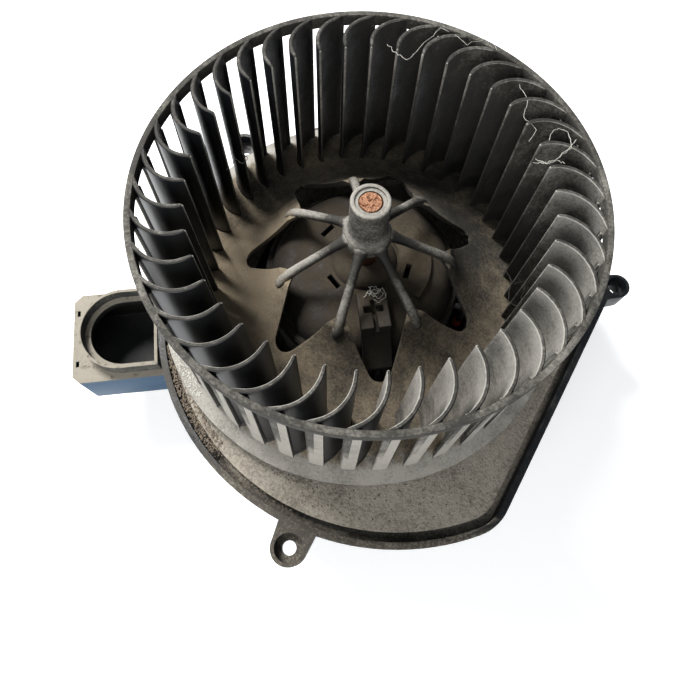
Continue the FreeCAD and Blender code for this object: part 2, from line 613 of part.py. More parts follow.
def make_fan_wheel():
    """Rim, blades, dished disc with petals, spokes and hub in one piece."""
    body = new_body("fan_wheel")
    revolve(body, "disc_blank", [
        ("petal_tip_radius", WHEEL_FOOT),
        ("ring_radius", WHEEL_FOOT),
        ("ring_radius", "-ring_drop"),
        ("wheel_radius", "-disc_edge_drop"),
        ("disc_foot_radius", "-disc_foot_drop", "dish_curve", "right"),
        ("petal_bend_radius", "-petal_bend_drop"),
        ("petal_tip_radius", TIP_TOP),
    ])
    foot = "-disc_edge_drop - disc_wall / 2"
    outline = draw(sketch_on(body, "blade_outline", lift=foot, turn="blade_phase"), blade_outline())
    blade = pad(body, outline, "blade", f"blade_crest - ({foot})")
    repeat(body, blade, "blades", "blade_count")
    groove(body, "blade_trim", [
        ("wheel_radius", "-disc_edge_drop"),
        ("ring_radius", "-ring_drop"),
        ("ring_radius + blade_run", "-ring_drop"),
        ("ring_radius + blade_run", "blade_crest + 1"),
        ("wheel_radius", "blade_crest + 1"),
    ])
    revolve(body, "rim", [
        ("wheel_radius - rim_wall", "-rim_height"),
        ("wheel_radius - rim_bevel", "-rim_height"),
        ("wheel_radius", "-rim_height + rim_bevel"),
        ("wheel_radius", "-rim_bevel"),
        ("wheel_radius - rim_bevel", "0"),
        ("wheel_radius - rim_wall", "0"),
    ])
    groove(body, "blade_tops", [
        ("wheel_radius + 1", "0"),
        ("wheel_radius - rim_wall", "0"),
        ("blade_inner_radius + blade_corner", "blade_crest"),
        ("blade_inner_radius - 1", "blade_crest - blade_corner - 1"),
        ("blade_inner_radius - 1", "blade_crest + 2"),
        ("wheel_radius + 1", "blade_crest + 2"),
    ])
    groove(body, "underside", [
        (*DISH_UNDER_BEND, "dish_curve + disc_wall", "left"),
        DISH_UNDER_FOOT,
        ("wheel_radius", "-disc_edge_drop - disc_wall"),
        ("ring_radius - ring_edge_wall", "-ring_drop - ring_edge_wall * 0.7"),
        ("ring_radius - ring_edge_wall", f"{WHEEL_FOOT} - 1"),
        ("petal_tip_radius - 1", f"{WHEEL_FOOT} - 1"),
        ("petal_tip_radius - 1", TIP_FOOT),
        ("petal_tip_radius", TIP_FOOT),
    ])
    outline = sketch_on(body, "window_outline", turn="180 / petal_count")
    window = pocket(body, draw(outline, window_outline()), "window", "ring_drop")
    repeat(body, window, "windows", "petal_count")
    root = sketch_on(body, "spoke_root", "YZ_Plane", lift="hub_radius / 2")
    circle(root, "0", "-spoke_inner_drop", "spoke_radius / cos(spoke_fall)")
    spoke = pad(body, root, "spoke", "spoke_outer_radius - hub_radius / 2")
    spoke.UseCustomVector = True
    spoke.Direction = Vector(1, 0, -math.tan(math.radians(size("spoke_fall"))))
    spoke.AlongSketchNormal = True
    repeat(body, spoke, "spokes", "petal_count")
    revolve(body, "hub", [
        ("0", "-hub_foot_drop"),
        ("hub_radius", "-hub_foot_drop"),
        ("hub_flare_radius", "-hub_foot_drop + 1"),
        ("hub_flare_radius", "-hub_flare_drop", "hub_flare_radius - hub_radius + 1", "right"),
        ("hub_radius", "-hub_neck_drop"),
        ("hub_radius", "-hub_drop - hub_bevel"),
        ("hub_radius - hub_bevel", "-hub_drop"),
        ("0", "-hub_drop"),
    ])
    groove(body, "hub_bore", [
        ("0", "-hub_foot_drop - 1"),
        ("shaft_radius", "-hub_foot_drop - 1"),
        ("shaft_radius", "-hub_drop - hub_step_depth"),
        ("hub_step_radius", "-hub_drop - hub_step_depth"),
        ("hub_step_radius", "-hub_drop + 1"),
        ("0", "-hub_drop + 1"),
    ])
    return place(body, "wheel_top", "petal_angle")


# Mounting plate, one moulding, its own origin is in its underside

def d_outline(sketch, inset):
    """The plate's outline, moved inwards: a circle with one straight side."""
    big = size(f"flange_radius - {inset}")
    corner = size(f"flange_corner - {inset}")
    flat = size(f"flange_flat - {inset}")
    centre = Vector(size("flange_centre_x"), size("flange_centre_y"), 0)
    side = flat - corner
    rise = math.sqrt((big - corner) ** 2 - (side - centre.x) ** 2)
    low, high = Vector(side, centre.y - rise, 0), Vector(side, centre.y + rise, 0)
    lean = math.atan2(rise, side - centre.x)
    up = Vector(0, 0, 1)
    edges = [
        sketch.addGeometry(Part.ArcOfCircle(Part.Circle(centre, up, big), lean, 2 * math.pi - lean)),
        sketch.addGeometry(Part.ArcOfCircle(Part.Circle(low, up, corner), -lean, 0)),
        sketch.addGeometry(Part.LineSegment(Vector(flat, low.y, 0), Vector(flat, high.y, 0))),
        sketch.addGeometry(Part.ArcOfCircle(Part.Circle(high, up, corner), 0, lean)),
    ]
    for edge, following in zip(edges, edges[1:] + edges[:1]):
        sketch.addConstraint(Sketcher.Constraint("Tangent", edge, 2, following, 1))
    pin_point(sketch, edges[0], 3, "flange_centre_x", "flange_centre_y")
    sketch.addConstraint(Sketcher.Constraint("Vertical", edges[2]))
    for edge, text in ((0, "flange_radius"), (1, "flange_corner"), (3, "flange_corner")):
        pin_radius(sketch, edges[edge], f"{text} - {inset}")
    pin(sketch, "DistanceX", edges[2], 1, f"flange_flat - {inset}")
    return sketch


LUGS = {
    "front": ("lug_radius", "lug_bore_radius"),
    "right": ("lug_right_radius", "lug_right_bore"),
    "left": ("lug_radius", "lug_bore_radius"),
}


def lug_centre(side):
    """Expressions for a lug's screw axis."""
    reach, angle = f"lug_{side}_reach", f"lug_{side}_angle"
    return f"flange_centre_x + {reach} * cos({angle})", f"flange_centre_y + {reach} * sin({angle})"


def add_lug(body, side, radius):
    """A lug's boss and the neck that runs into the plate's edge."""
    angle = f"lug_{side}_angle"
    drop = "flange_depth - lug_height"
    neck = sketch_on(body, f"lug_{side}_neck", lift=drop, turn=angle)
    neck.AttachmentOffset = Placement(
        Vector(size("flange_centre_x"), size("flange_centre_y"), size(drop)),
        Rotation(Vector(0, 0, 1), size(angle)),
    )
    reach = f"lug_{side}_reach"
    root = f"{radius} + lug_root_spread"
    draw(neck, [
        (f"{reach} - lug_root", f"-({root})"),
        (reach, f"-{radius}", radius, "half"),
        (reach, radius),
        (f"{reach} - lug_root", root),
    ])
    pad(body, neck, f"lug_{side}", "lug_height")


def make_mounting_plate():
    """Flange with groove, lugs, ribs and the motor pot in one piece."""
    body = new_body("mounting_plate")
    pad(body, d_outline(sketch_on(body, "flange_outline"), "0"), "flange", "flange_depth")
    for side, (radius, _) in LUGS.items():
        add_lug(body, side, radius)
    track = sketch_on(body, "groove_track", lift="flange_depth")
    d_outline(track, "lip_wall")
    d_outline(track, "(lip_wall + groove_width)")
    pocket(body, track, "groove", "groove_depth")
    under = sketch_on(body, "recess_outline", lift="flange_depth - floor_wall")
    d_outline(under, "(lip_wall + groove_width + groove_inner_wall)")
    pocket(body, under, "recess", "flange_depth")
    rib = sketch_on(body, "rib_outline")
    rectangle(rib, "pot_radius + pot_wall / 2", "rib_reach", "-rib_wall / 2", "rib_wall / 2")
    repeat(body, pad(body, rib, "rib", "flange_depth - floor_wall / 2"), "ribs", "rib_count")
    pot_foot = f"cover_wall - ({FLANGE_FOOT})"
    pot = circle(sketch_on(body, "pot_outline", lift=pot_foot), "0", "0", POT_OUTER)
    pad(body, pot, "pot", f"{FLANGE_FOOT} - cover_wall + flange_depth")
    ear = sketch_on(body, "ear_outline", lift=pot_foot, turn="ear_angle")
    draw(ear, [
        ("pot_radius", "-ear_radius"),
        ("ear_centre", "-ear_radius", "ear_radius", "half"),
        ("ear_centre", "ear_radius"),
        ("pot_radius", "ear_radius"),
    ])
    repeat(body, pad(body, ear, "ear", "ear_height"), "ears", "ear_count")
    hollow = circle(sketch_on(body, "pot_hollow", lift="flange_depth"), "0", "0", "pot_radius")
    pocket(body, hollow, "pot_inside", "plate_top")
    pilot = sketch_on(body, "pilot_outline", lift=f"{pot_foot} + ear_height", turn="ear_angle")
    circle(pilot, "ear_centre", "0", "screw_radius")
    repeat(body, pocket(body, pilot, "pilot", "ear_height"), "pilots", "ear_count")
    for side, (_, bore) in LUGS.items():
        x, y = lug_centre(side)
        hole = circle(sketch_on(body, f"lug_{side}_hole", lift="flange_depth"), x, y, "lug_hole_radius")
        pocket(body, hole, f"lug_{side}_bore", "lug_height + 1")
        wide = circle(sketch_on(body, f"lug_{side}_wide", lift="flange_depth"), x, y, bore)
        pocket(body, wide, f"lug_{side}_counterbore", "lug_bore_depth")
    vent = sketch_on(body, "vent_outline", lift=f"{LID_FOOT} - ({FLANGE_FOOT}) - 1", turn="duct_angle")
    rectangle(vent, "pot_radius - 8", f"{POT_OUTER} + 4", "duct_offset - duct_width / 2 + duct_wall + 1",
              "duct_offset + duct_width / 2 - duct_wall - 1")
    pocket(body, vent, "vent", "vent_height")
    inlet_top = f"socket_foot + socket_height - neck_inset + fit_gap - ({FLANGE_FOOT})"
    inlet = sketch_on(body, "inlet_outline", lift=inlet_top, turn="guide_angle")
    rectangle(inlet, "pot_radius - 3", f"{POT_OUTER} + 3", "-neck_half - fit_gap", "neck_half + fit_gap")
    pocket(body, inlet, "inlet", "socket_height - 2 * neck_inset + 2 * fit_gap")
    return place(body, FLANGE_FOOT)


# Base cover and its screws

def make_base_cover():
    """The disc that closes the pot, flat below, with recesses for screws."""
    body = new_body("base_cover")
    pad(body, circle(sketch_on(body, "cover_outline"), "0", "0", POT_OUTER), "cover_disc", "cover_wall")
    ear = sketch_on(body, "cover_ear_outline", turn="ear_angle")
    draw(ear, [
        ("pot_radius", "-ear_radius"),
        ("ear_centre", "-ear_radius", "ear_radius", "half"),
        ("ear_centre", "ear_radius"),
        ("pot_radius", "ear_radius"),
    ])
    repeat(body, pad(body, ear, "cover_ear", "cover_wall"), "cover_ears", "ear_count")
    well = circle(sketch_on(body, "well_outline", lift="cover_wall"), "0", "0", "seat_radius + seat_wall + 4")
    pocket(body, well, "well", "cover_wall / 2")
    hole = sketch_on(body, "cover_hole_outline", lift="cover_wall", turn="ear_angle")
    circle(hole, "ear_centre", "0", "screw_radius + fit_gap")
    repeat(body, pocket(body, hole, "cover_hole", "cover_wall + 1"), "cover_holes", "ear_count")
    recess = sketch_on(body, "recess_circle", lift="screw_recess", turn="ear_angle")
    circle(recess, "ear_centre", "0", "screw_head_radius + 2 * fit_gap")
    repeat(body, pocket(body, recess, "head_recess", "screw_recess + 1"), "head_recesses", "ear_count")
    return place(body)


def make_cover_screws():
    """Three pan-head screws, driven upwards through the base cover."""
    body = new_body("cover_screws")
    foot = "screw_recess - screw_head_height"
    head = circle(sketch_on(body, "head_outline", lift=foot, turn="ear_angle"), "ear_centre", "0", "screw_head_radius")
    repeat(body, pad(body, head, "screw_head", "screw_head_height"), "screw_heads", "ear_count")
    shank = sketch_on(body, "shank_outline", lift="screw_recess", turn="ear_angle")
    circle(shank, "ear_centre", "0", "screw_radius")
    repeat(body, pad(body, shank, "shank", "screw_length"), "shanks", "ear_count")
    return place(body)


# Cooling-air duct, local X points outwards from the fan axis

DUCT_LOW = "duct_offset - duct_width / 2"
DUCT_HIGH = "duct_offset + duct_width / 2"


def duct_outline(inset="0"):
    """The duct's plan, with bevelled outer corners."""
    return [
        ("pot_radius", f"{DUCT_LOW} + {inset}"),
        ("duct_reach - duct_corner", f"{DUCT_LOW} + {inset}"),
        (f"duct_reach - {inset}", f"{DUCT_LOW} + duct_corner"),
        (f"duct_reach - {inset}", f"{DUCT_HIGH} - duct_corner"),
        ("duct_reach - duct_corner", f"{DUCT_HIGH} - {inset}"),
        ("pot_radius", f"{DUCT_HIGH} - {inset}"),
    ]


def collar_outline(inset, flat_inset):
    """The collar's D: a round outer end and a straight inner side."""
    radius = f"collar_radius - {inset}"
    flat = f"collar_flat + {flat_inset}"
    return [
        (flat, f"collar_offset - ({radius})"),
        ("collar_centre", f"collar_offset - ({radius})", radius, "half"),
        ("collar_centre", f"collar_offset + ({radius})"),
        (flat, f"collar_offset + ({radius})"),
    ]


def make_duct_box():
    """The duct's tray, open at the top and towards the pot."""
    body = new_body("duct_box")
    tray_height = "duct_depth - lid_wall"
    pad(body, draw(sketch_on(body, "tray_outline"), duct_outline()), "tray", tray_height)
    inside = draw(sketch_on(body, "tray_inside", lift=tray_height), duct_outline("duct_wall"))
    pocket(body, inside, "tray_hollow", f"{tray_height} - duct_wall")
    pot = circle(sketch_on(body, "pot_clearance", lift=tray_height), "0", "0", f"{POT_OUTER} + fit_gap")
    pocket(body, pot, "pot_side", "duct_depth")
    return place(body, TRAY_FOOT, "duct_angle")


def make_duct_cover():
    """The duct's lid, with the D-shaped collar and two snap slots."""
    body = new_body("duct_cover")
    pad(body, draw(sketch_on(body, "lid_outline"), duct_outline()), "lid", "lid_wall")
    top = "flange_depth + lid_wall"
    pad(body, draw(sketch_on(body, "collar_outline"), collar_outline("0", "0")), "collar", top)
    wide = collar_outline("collar_wall", "collar_wall")
    pocket(body, draw(sketch_on(body, "mouth_outline", lift=top), wide), "mouth", "collar_ledge_drop")
    narrow = collar_outline("(collar_wall + collar_ledge)", "(collar_wall + collar_flat_ledge)")
    pocket(body, draw(sketch_on(body, "throat_outline", lift=top), narrow), "throat", f"{top} + 1")
    pot = circle(sketch_on(body, "lid_pot_clearance", lift="lid_wall"), "0", "0", f"{POT_OUTER} + fit_gap")
    pocket(body, pot, "lid_pot_side", "duct_depth")
    for name, sign in (("low", "-"), ("high", "+")):
        slot = sketch_on(body, f"snap_{name}_outline", lift="lid_wall")
        middle = f"duct_offset {sign} snap_spread"
        rectangle(slot, "duct_reach - snap_inset", "duct_reach - snap_inset + snap_width",
                  f"{middle} - snap_length / 2", f"{middle} + snap_length / 2")
        pocket(body, slot, f"snap_{name}", "lid_wall + 1")
    return place(body, LID_FOOT, "duct_angle")


# Motor

def make_motor_shaft():
    """The plain shaft with bevelled ends."""
    length = f"({SHAFT_TOP}) - shaft_foot"
    return turned("motor_shaft", [
        ("0", "0"),
        ("shaft_radius - shaft_bevel", "0"),
        ("shaft_radius", "shaft_bevel"),
        ("shaft_radius", f"{length} - shaft_bevel"),
        ("shaft_radius - shaft_bevel", length),
        ("0", length),
    ], "shaft_foot")


def make_motor_can():
    """The deep-drawn can with its lower bearing seat."""
    outer = "(seat_radius + seat_wall)"
    return turned("motor_can", [
        ("0", "-seat_depth"),
        (f"{outer} - 1", "-seat_depth"),
        (outer, "-seat_depth + 1"),
        (outer, "0"),
        ("can_radius - can_bend", "0", "can_bend", "left"),
        ("can_radius", "can_bend"),
        ("can_radius", "can_top - can_foot"),
        (CAN_INNER, "can_top - can_foot"),
        (CAN_INNER, "can_bend"),
        ("can_radius - can_bend", "can_wall"),
        ("seat_radius", "can_wall"),
        ("seat_radius", "seat_wall - seat_depth"),
        ("0", "seat_wall - seat_depth"),
    ], "can_foot")


def make_upper_end_bell():
    """The domed end cap with its rounded boss, raised field, slots and lead notches."""
    body = new_body("upper_end_bell")
    boss = "(seat_radius + seat_wall)"
    skirt = f"{UPPER_BEARING} - bearing_half - 2 * retainer_wall"
    revolve(body, "bell_turning", [
        ("can_radius", "can_top"),
        ("can_radius", "bell_shoulder - 1"),
        ("can_radius - 1", "bell_shoulder"),
        ("can_radius - 2.5", "bell_shoulder", "bell_curve", "left"),
        ("bell_crown_radius", "bell_top - 1"),
        ("bell_dome_radius", "bell_top", "bell_dome_curve", "left"),
        (f"{boss} - 3", "bell_boss_top"),
        ("shaft_radius + 0.6", "bell_boss_top"),
        ("shaft_radius + 0.6", UPPER_SEAT_TOP),
        ("seat_radius", UPPER_SEAT_TOP),
        ("seat_radius", skirt),
        (boss, skirt),
        (boss, "bell_top - bell_wall"),
        ("bell_crown_radius", "bell_top - 1 - bell_wall"),
        ("can_radius - 2.5 - bell_wall", "bell_shoulder - 1"),
        ("can_radius - can_wall", "bell_shoulder - 3"),
        ("can_radius - can_wall", "can_top"),
    ])
    field = sketch_on(body, "field_outline", lift="bell_top - 0.75 * bell_wall", turn="bell_pad_turn")
    sector(field, "bell_dome_radius + bell_pad_margin", "bell_crown_radius - bell_pad_margin", "bell_pad_span")
    pad(body, field, "raised_field", "0.75 * bell_wall + bell_pad_rise")
    for side in ("left", "front", "right"):
        slot = sketch_on(body, f"{side}_slot_outline", lift="bell_boss_top", turn=f"{side}_slot_turn")
        rectangle(slot, f"{side}_slot_radius - bell_slot_width / 2", f"{side}_slot_radius + bell_slot_width / 2",
                  "-bell_slot_length / 2", "bell_slot_length / 2")
        pocket(body, slot, f"{side}_slot", "bell_boss_top - bell_top + 3 * bell_wall")
    gap = "(lead_radius + fit_gap)"
    for name, turn in (("positive", "brush_angle"), ("negative", "guide_angle")):
        notch = sketch_on(body, f"notch_{name}_outline", lift=f"lead_height + {gap}", turn=turn)
        rectangle(notch, "can_radius - 4", "can_radius + 2", f"-{gap}", gap)
        pocket(body, notch, f"notch_{name}", f"lead_height + {gap} - can_top")
    return place(body)


def make_bearing(label, middle):
    """A sintered bush with a spherical outside."""
    bore = "shaft_radius + running_gap"
    end = "sqrt(bearing_radius * bearing_radius - bearing_half * bearing_half)"
    return turned(label, [
        (bore, "-bearing_half"),
        (end, "-bearing_half", "bearing_radius", "left"),
        (end, "bearing_half"),
        (bore, "bearing_half"),
    ], middle)


def make_ring(label, inner, outer, height, lift):
    """A flat ring with its own origin in its underside."""
    return turned(label, [(inner, "0"), (outer, "0"), (outer, height), (inner, height)], lift)


def make_bearings():
    """Both bearings, each with its oil felt and its retainer."""
    make_bearing("upper_bearing", UPPER_BEARING)
    make_bearing("lower_bearing", LOWER_BEARING)
    felt_bore = "bearing_radius + fit_gap"
    felt_rim = "seat_radius - fit_gap"
    make_ring("upper_felt", felt_bore, felt_rim, "2 * felt_half", f"{UPPER_BEARING} - felt_half")
    make_ring("lower_felt", felt_bore, felt_rim, "2 * felt_half", f"{LOWER_BEARING} - felt_half")
    make_ring("upper_retainer", "retainer_hole", felt_rim, "retainer_wall", f"{UPPER_BEARING} - bearing_half - retainer_wall")
    make_ring("lower_retainer", "retainer_hole", "seat_radius + seat_wall", "retainer_wall", "can_foot + can_wall")


def make_magnets():
    """Two arc magnets on the can's wall and the springs between them."""
    inner = "core_radius + magnet_gap"
    outer = f"{CAN_INNER} - fit_gap"
    for name, turn in (("a", "brush_angle + 90"), ("b", "brush_angle + 270")):
        make_magnet(f"magnet_{name}", inner, outer, turn)
    for name, turn in (("a", "brush_angle"), ("b", "brush_angle + 180")):
        make_curved_clip(f"magnet_clip_{name}", outer, turn)


def sector_body(label, inner, outer, height, span, lift, turn):
    """A sector of a ring as a padded outline, its middle in a direction."""
    body = new_body(label)
    pad(body, sector(sketch_on(body, label + "_outline"), inner, outer, span), label + "_pad", height)
    return place(body, lift, turn)


def make_magnet(label, inner, outer, turn):
    """One arc magnet."""
    return sector_body(label, inner, outer, "magnet_top - magnet_foot", "magnet_span", "magnet_foot", turn)


def make_curved_clip(label, outer, turn):
    """One spring strip between the ends of the magnets."""
    return sector_body(label, f"{outer} - clip_wall", outer, "magnet_top - magnet_foot", "clip_span", "magnet_foot",
                       turn)


# Armature, it turns with the shaft

def slot_outline(gap):
    """A winding slot's round bottom and narrow mouth."""
    radius = f"(slot_radius - {gap})"
    mouth = f"(slot_mouth / 2 - {gap})"
    reach = f"slot_centre + sqrt({radius} * {radius} - {mouth} * {mouth})"
    return radius, mouth, reach


def make_armature_core():
    """The laminated core with its winding slots."""
    body = new_body("armature_core")
    pad(body, circle(sketch_on(body, "core_outline"), "0", "0", "core_radius"), "core", "core_top - core_foot")
    radius, mouth, reach = slot_outline("0")
    bore = circle(sketch_on(body, "core_bore", lift="core_top - core_foot"), "0", "0", "shaft_radius")
    pocket(body, bore, "core_hole", "core_top")
    hole = circle(sketch_on(body, "slot_round", lift="core_top - core_foot"), "slot_centre", "0", radius)
    repeat(body, pocket(body, hole, "slot", "core_top"), "slots", "slot_count")
    gap = sketch_on(body, "slot_gap", lift="core_top - core_foot")
    rectangle(gap, "slot_centre", "core_radius + 1", f"-{mouth}", mouth)
    repeat(body, pocket(body, gap, "slot_opening", "core_top"), "slot_openings", "slot_count")
    return place(body, "core_foot")


def make_armature_windings():
    """Copper bars in the slots, joined by the end turns."""
    body = new_body("armature_windings")
    foot, head = "core_foot - turn_height", "core_foot"
    revolve(body, "lower_turns", [
        ("turn_inner", foot),
        ("turn_outer - turn_bevel", foot),
        ("turn_outer", f"{foot} + turn_bevel"),
        ("turn_outer", head),
        ("turn_inner", head),
    ])
    bar = circle(sketch_on(body, "bar_outline", lift="core_foot"), "slot_centre", "0", "slot_radius - wire_gap")
    repeat(body, pad(body, bar, "bar", "core_top - core_foot"), "bars", "slot_count")
    foot, head = "core_top", "core_top + turn_height"
    revolve(body, "upper_turns", [
        ("turn_inner", foot),
        ("turn_outer", foot),
        ("turn_outer", f"{head} - turn_bevel"),
        ("turn_outer - turn_bevel", head),
        ("turn_inner", head),
    ])
    return place(body)


def make_commutator():
    """The copper commutator with its riser and the gaps between its bars."""
    body = new_body("commutator")
    revolve(body, "commutator_turning", [
        ("shaft_radius", "0"),
        ("riser_radius", "0"),
        ("riser_radius", "riser_height"),
        ("commutator_radius", "riser_height"),
        ("commutator_radius", "commutator_top - commutator_foot"),
        ("shaft_radius", "commutator_top - commutator_foot"),
    ])
    gap = sketch_on(body, "bar_gap_outline", lift="commutator_top - commutator_foot")
    rectangle(gap, "commutator_radius - bar_depth", "riser_radius + 1", "-bar_gap / 2", "bar_gap / 2")
    repeat(body, pocket(body, gap, "bar_slot", "commutator_top"), "bar_slots", "slot_count")
    return place(body, "commutator_foot")


def make_thrust_collars():
    """A collar over the commutator and one under the lower end turns."""
    upper_room = f"{UPPER_BEARING} - bearing_half - end_play - commutator_top"
    make_ring("thrust_collar_upper", "shaft_radius", "thrust_radius", upper_room, "commutator_top")
    foot = f"{LOWER_BEARING} + bearing_half + end_play"
    make_ring("thrust_collar_lower", "shaft_radius", "thrust_radius", f"core_foot - turn_height - ({foot})", foot)


# Brush gear

def make_brush_card():
    """The plastic ring that carries brushes and chokes."""
    body = new_body("brush_card")
    outline = sketch_on(body, "card_outline")
    circle(outline, "0", "0", f"{CAN_INNER} - fit_gap")
    circle(outline, "0", "0", "card_hole")
    pad(body, outline, "card", "card_wall")
    half = "(brush_width / 2 + fit_gap + holder_wall)"
    holder = sketch_on(body, "holder_outline", lift="card_wall / 2", turn="brush_angle")
    rectangle(holder, f"{HOLDER_START} + 1", HOLDER_END, f"-{half}", half)
    wall = pad(body, holder, "holder", "card_wall / 2 + brush_height + 2 * holder_wall + 2 * fit_gap")
    repeat(body, wall, "holders", "2")
    top = "card_wall + holder_wall + brush_height + 2 * fit_gap"
    hollow = sketch_on(body, "holder_hollow_outline", lift=top, turn="brush_angle")
    rectangle(hollow, "card_hole - 2", f"{HOLDER_END} + 1", "-brush_width / 2 - fit_gap", "brush_width / 2 + fit_gap")
    repeat(body, pocket(body, hollow, "holder_hollow", "brush_height + 2 * fit_gap"), "holder_hollows", "2")
    return place(body, "card_foot")


def make_brushes():
    """Two carbon brushes that bear on the commutator."""
    for name, turn in (("a", "brush_angle"), ("b", "brush_angle + 180")):
        face = "commutator_radius + brush_gap"
        bar = block(f"brush_{name}_bar", ("commutator_radius - 1", f"{face} + brush_length"),
                    ("-brush_width / 2", "brush_width / 2"),
                    (f"{BRUSH_LEVEL} + fit_gap", f"{BRUSH_LEVEL} + fit_gap + brush_height"))
        hollow = drum(f"brush_{name}_face", face, ("card_foot", "commutator_top + 5"))
        place(cut(f"brush_{name}", bar, hollow), turn=turn)


def make_brush_springs():
    """Two leaf springs that press the brushes inwards."""
    for name, turn in (("a", "brush_angle"), ("b", "brush_angle + 180")):
        label = f"brush_spring_{name}"
        body = new_body(label)
        behind = "commutator_radius + 2 * brush_gap + brush_length"
        rear = f"{HOLDER_END} + 0.05"
        half = "(brush_width / 2 - 0.3)"
        outline = draw(sketch_on(body, label + "_outline"), [
            (behind, f"-{half}"),
            (f"{behind} + spring_wall", f"-{half}"),
            (f"{behind} + spring_wall", f"{half} / 2"),
            (rear, f"-{half}"),
            (rear, f"-{half} - holder_wall - fit_gap"),
            (f"{rear} + spring_wall", f"-{half} - holder_wall - fit_gap"),
            (f"{rear} + spring_wall", f"-{half} + spring_wall / 2"),
            (f"{behind} + spring_wall * 1.2", half),
            (behind, half),
        ])
        pad(body, outline, label + "_pad", "brush_height / 2")
        place(body, f"{BRUSH_LEVEL} + brush_height / 4", turn)


def make_chokes():
    """Two ferrite chokes that lie across the brush card."""
    for name, sign in (("a", "-"), ("b", "+")):
        label = f"choke_{name}"
        core = doc.addObject("Part::Cylinder", label + "_core")
        bind(core, "Radius", "choke_core_radius")
        bind(core, "Height", "choke_length")
        coil = doc.addObject("Part::Cylinder", label + "_coil")
        bind(coil, "Radius", "choke_radius")
        bind(coil, "Height", "choke_length * 0.7")
        bind(coil, "Placement.Base.z", "choke_length * 0.15")
        item = fused(label, [core, coil])
        turn = Rotation(Vector(0, 0, 1), size(f"guide_angle {sign} choke_angle"))
        level = f"{CARD_TOP} + choke_radius + 0.05"
        centre = turn.multVec(Vector(size("choke_centre"), -size("choke_length") / 2, 0))
        centre.z = size(level)
        item.Placement = Placement(centre, turn * Rotation(Vector(1, 0, 0), -90))
        bind(item, "Placement.Base.z", level)


# Lead guide, connector and leads, local X points outwards at the guide

def make_lead_guide():
    """The slotted block on the end bell and the channel down to the pot."""
    body = new_body("lead_guide")
    under = "bell_top + fit_gap"
    side = sketch_on(body, "guide_profile", "XZ_Plane")
    draw(side, [
        ("guide_inner", under),
        ("bell_crown_radius", "bell_top - 1 + 2 * fit_gap", "bell_curve + fit_gap", "right"),
        ("can_radius - 2.5 + fit_gap", "bell_shoulder + fit_gap"),
        ("can_radius + fit_gap", "bell_shoulder + fit_gap"),
        ("can_radius + fit_gap", "guide_foot"),
        ("can_radius + fit_gap + guide_wall", "guide_foot"),
        ("can_radius + fit_gap + guide_wall", "bell_shoulder + 2"),
        ("guide_block + 1", "bell_top - 0.5"),
        ("guide_block", GUIDE_TOP),
        ("guide_inner", GUIDE_TOP),
    ])
    shape = body.newObject("PartDesign::Pad", "guide")
    shape.Profile = side
    shape.Midplane = True
    bind(shape, "Length", "2 * guide_half")
    middle = "(guide_inner + guide_block) / 2"
    across = sketch_on(body, "cross_bar", lift=GUIDE_TOP)
    rectangle(across, f"{middle} - cross_width / 2", f"{middle} + cross_width / 2", "-cross_half", "cross_half")
    pocket(body, across, "cross_across", "guide_rise - 1")
    along = sketch_on(body, "cross_slit", lift=GUIDE_TOP)
    rectangle(along, f"{middle} - cross_half", "guide_block + 2", "-cross_width / 3", "cross_width / 3")
    pocket(body, along, "cross_along", "guide_rise - 1")
    notch = sketch_on(body, "lead_notch", lift="lead_height + lead_radius + 2 * fit_gap")
    gap = "(lead_radius + 2 * fit_gap)"
    rectangle(notch, "can_radius - 1", "can_radius + guide_wall + 2", f"-{gap}", gap)
    pocket(body, notch, "lead_passage", "lead_height")
    return place(body, turn="guide_angle")


def make_connector():
    """The two-pole connector in the pot's wall and its terminal blades."""
    body = new_body("connector_socket")
    face = f"{POT_OUTER} + fit_gap"
    end = f"{face} + socket_length"
    shell = rectangle(sketch_on(body, "shell_outline"), "pot_radius", end, "-socket_half", "socket_half")
    pad(body, shell, "shell", "socket_height")
    mouth = sketch_on(body, "mouth_profile", "YZ_Plane", lift=end)
    rectangle(mouth, "-socket_half + socket_wall", "socket_half - socket_wall", "socket_wall",
              "socket_height - socket_wall")
    pocket(body, mouth, "mouth", "socket_length - socket_flange")
    seat = circle(sketch_on(body, "socket_seat", lift="socket_height"), "0", "0", face)
    pocket(body, seat, "seat", "socket_height + 1")
    neck = sketch_on(body, "neck_outline", lift="neck_inset")
    rectangle(neck, "pot_radius - 2", f"{face} + socket_flange / 2", "-neck_half", "neck_half")
    pad(body, neck, "neck", "socket_height - 2 * neck_inset")
    slots = sketch_on(body, "blade_slots", "YZ_Plane", lift=f"{face} + socket_flange")
    low = "socket_height / 2 - terminal_height / 2"
    for sign in ("-", "+"):
        middle = f"{sign}blade_pitch"
        rectangle(slots, f"{middle} - terminal_wall / 2", f"{middle} + terminal_wall / 2", low,
                  f"{low} + terminal_height")
    pocket(body, slots, "blade_slot", "socket_flange + pot_wall + 6")
    place(body, "socket_foot", "guide_angle")
    for name, sign in (("a", "-"), ("b", "+")):
        middle = f"{sign}blade_pitch"
        terminal = new_body(f"terminal_{name}")
        outline = rectangle(sketch_on(terminal, f"terminal_{name}_outline"), "lead_track - 1",
                            f"{face} + socket_flange + terminal_tip", f"{middle} - terminal_wall / 2",
                            f"{middle} + terminal_wall / 2")
        pad(terminal, outline, f"terminal_{name}_blade", "terminal_height")
        place(terminal, f"socket_foot + {low}", "guide_angle")


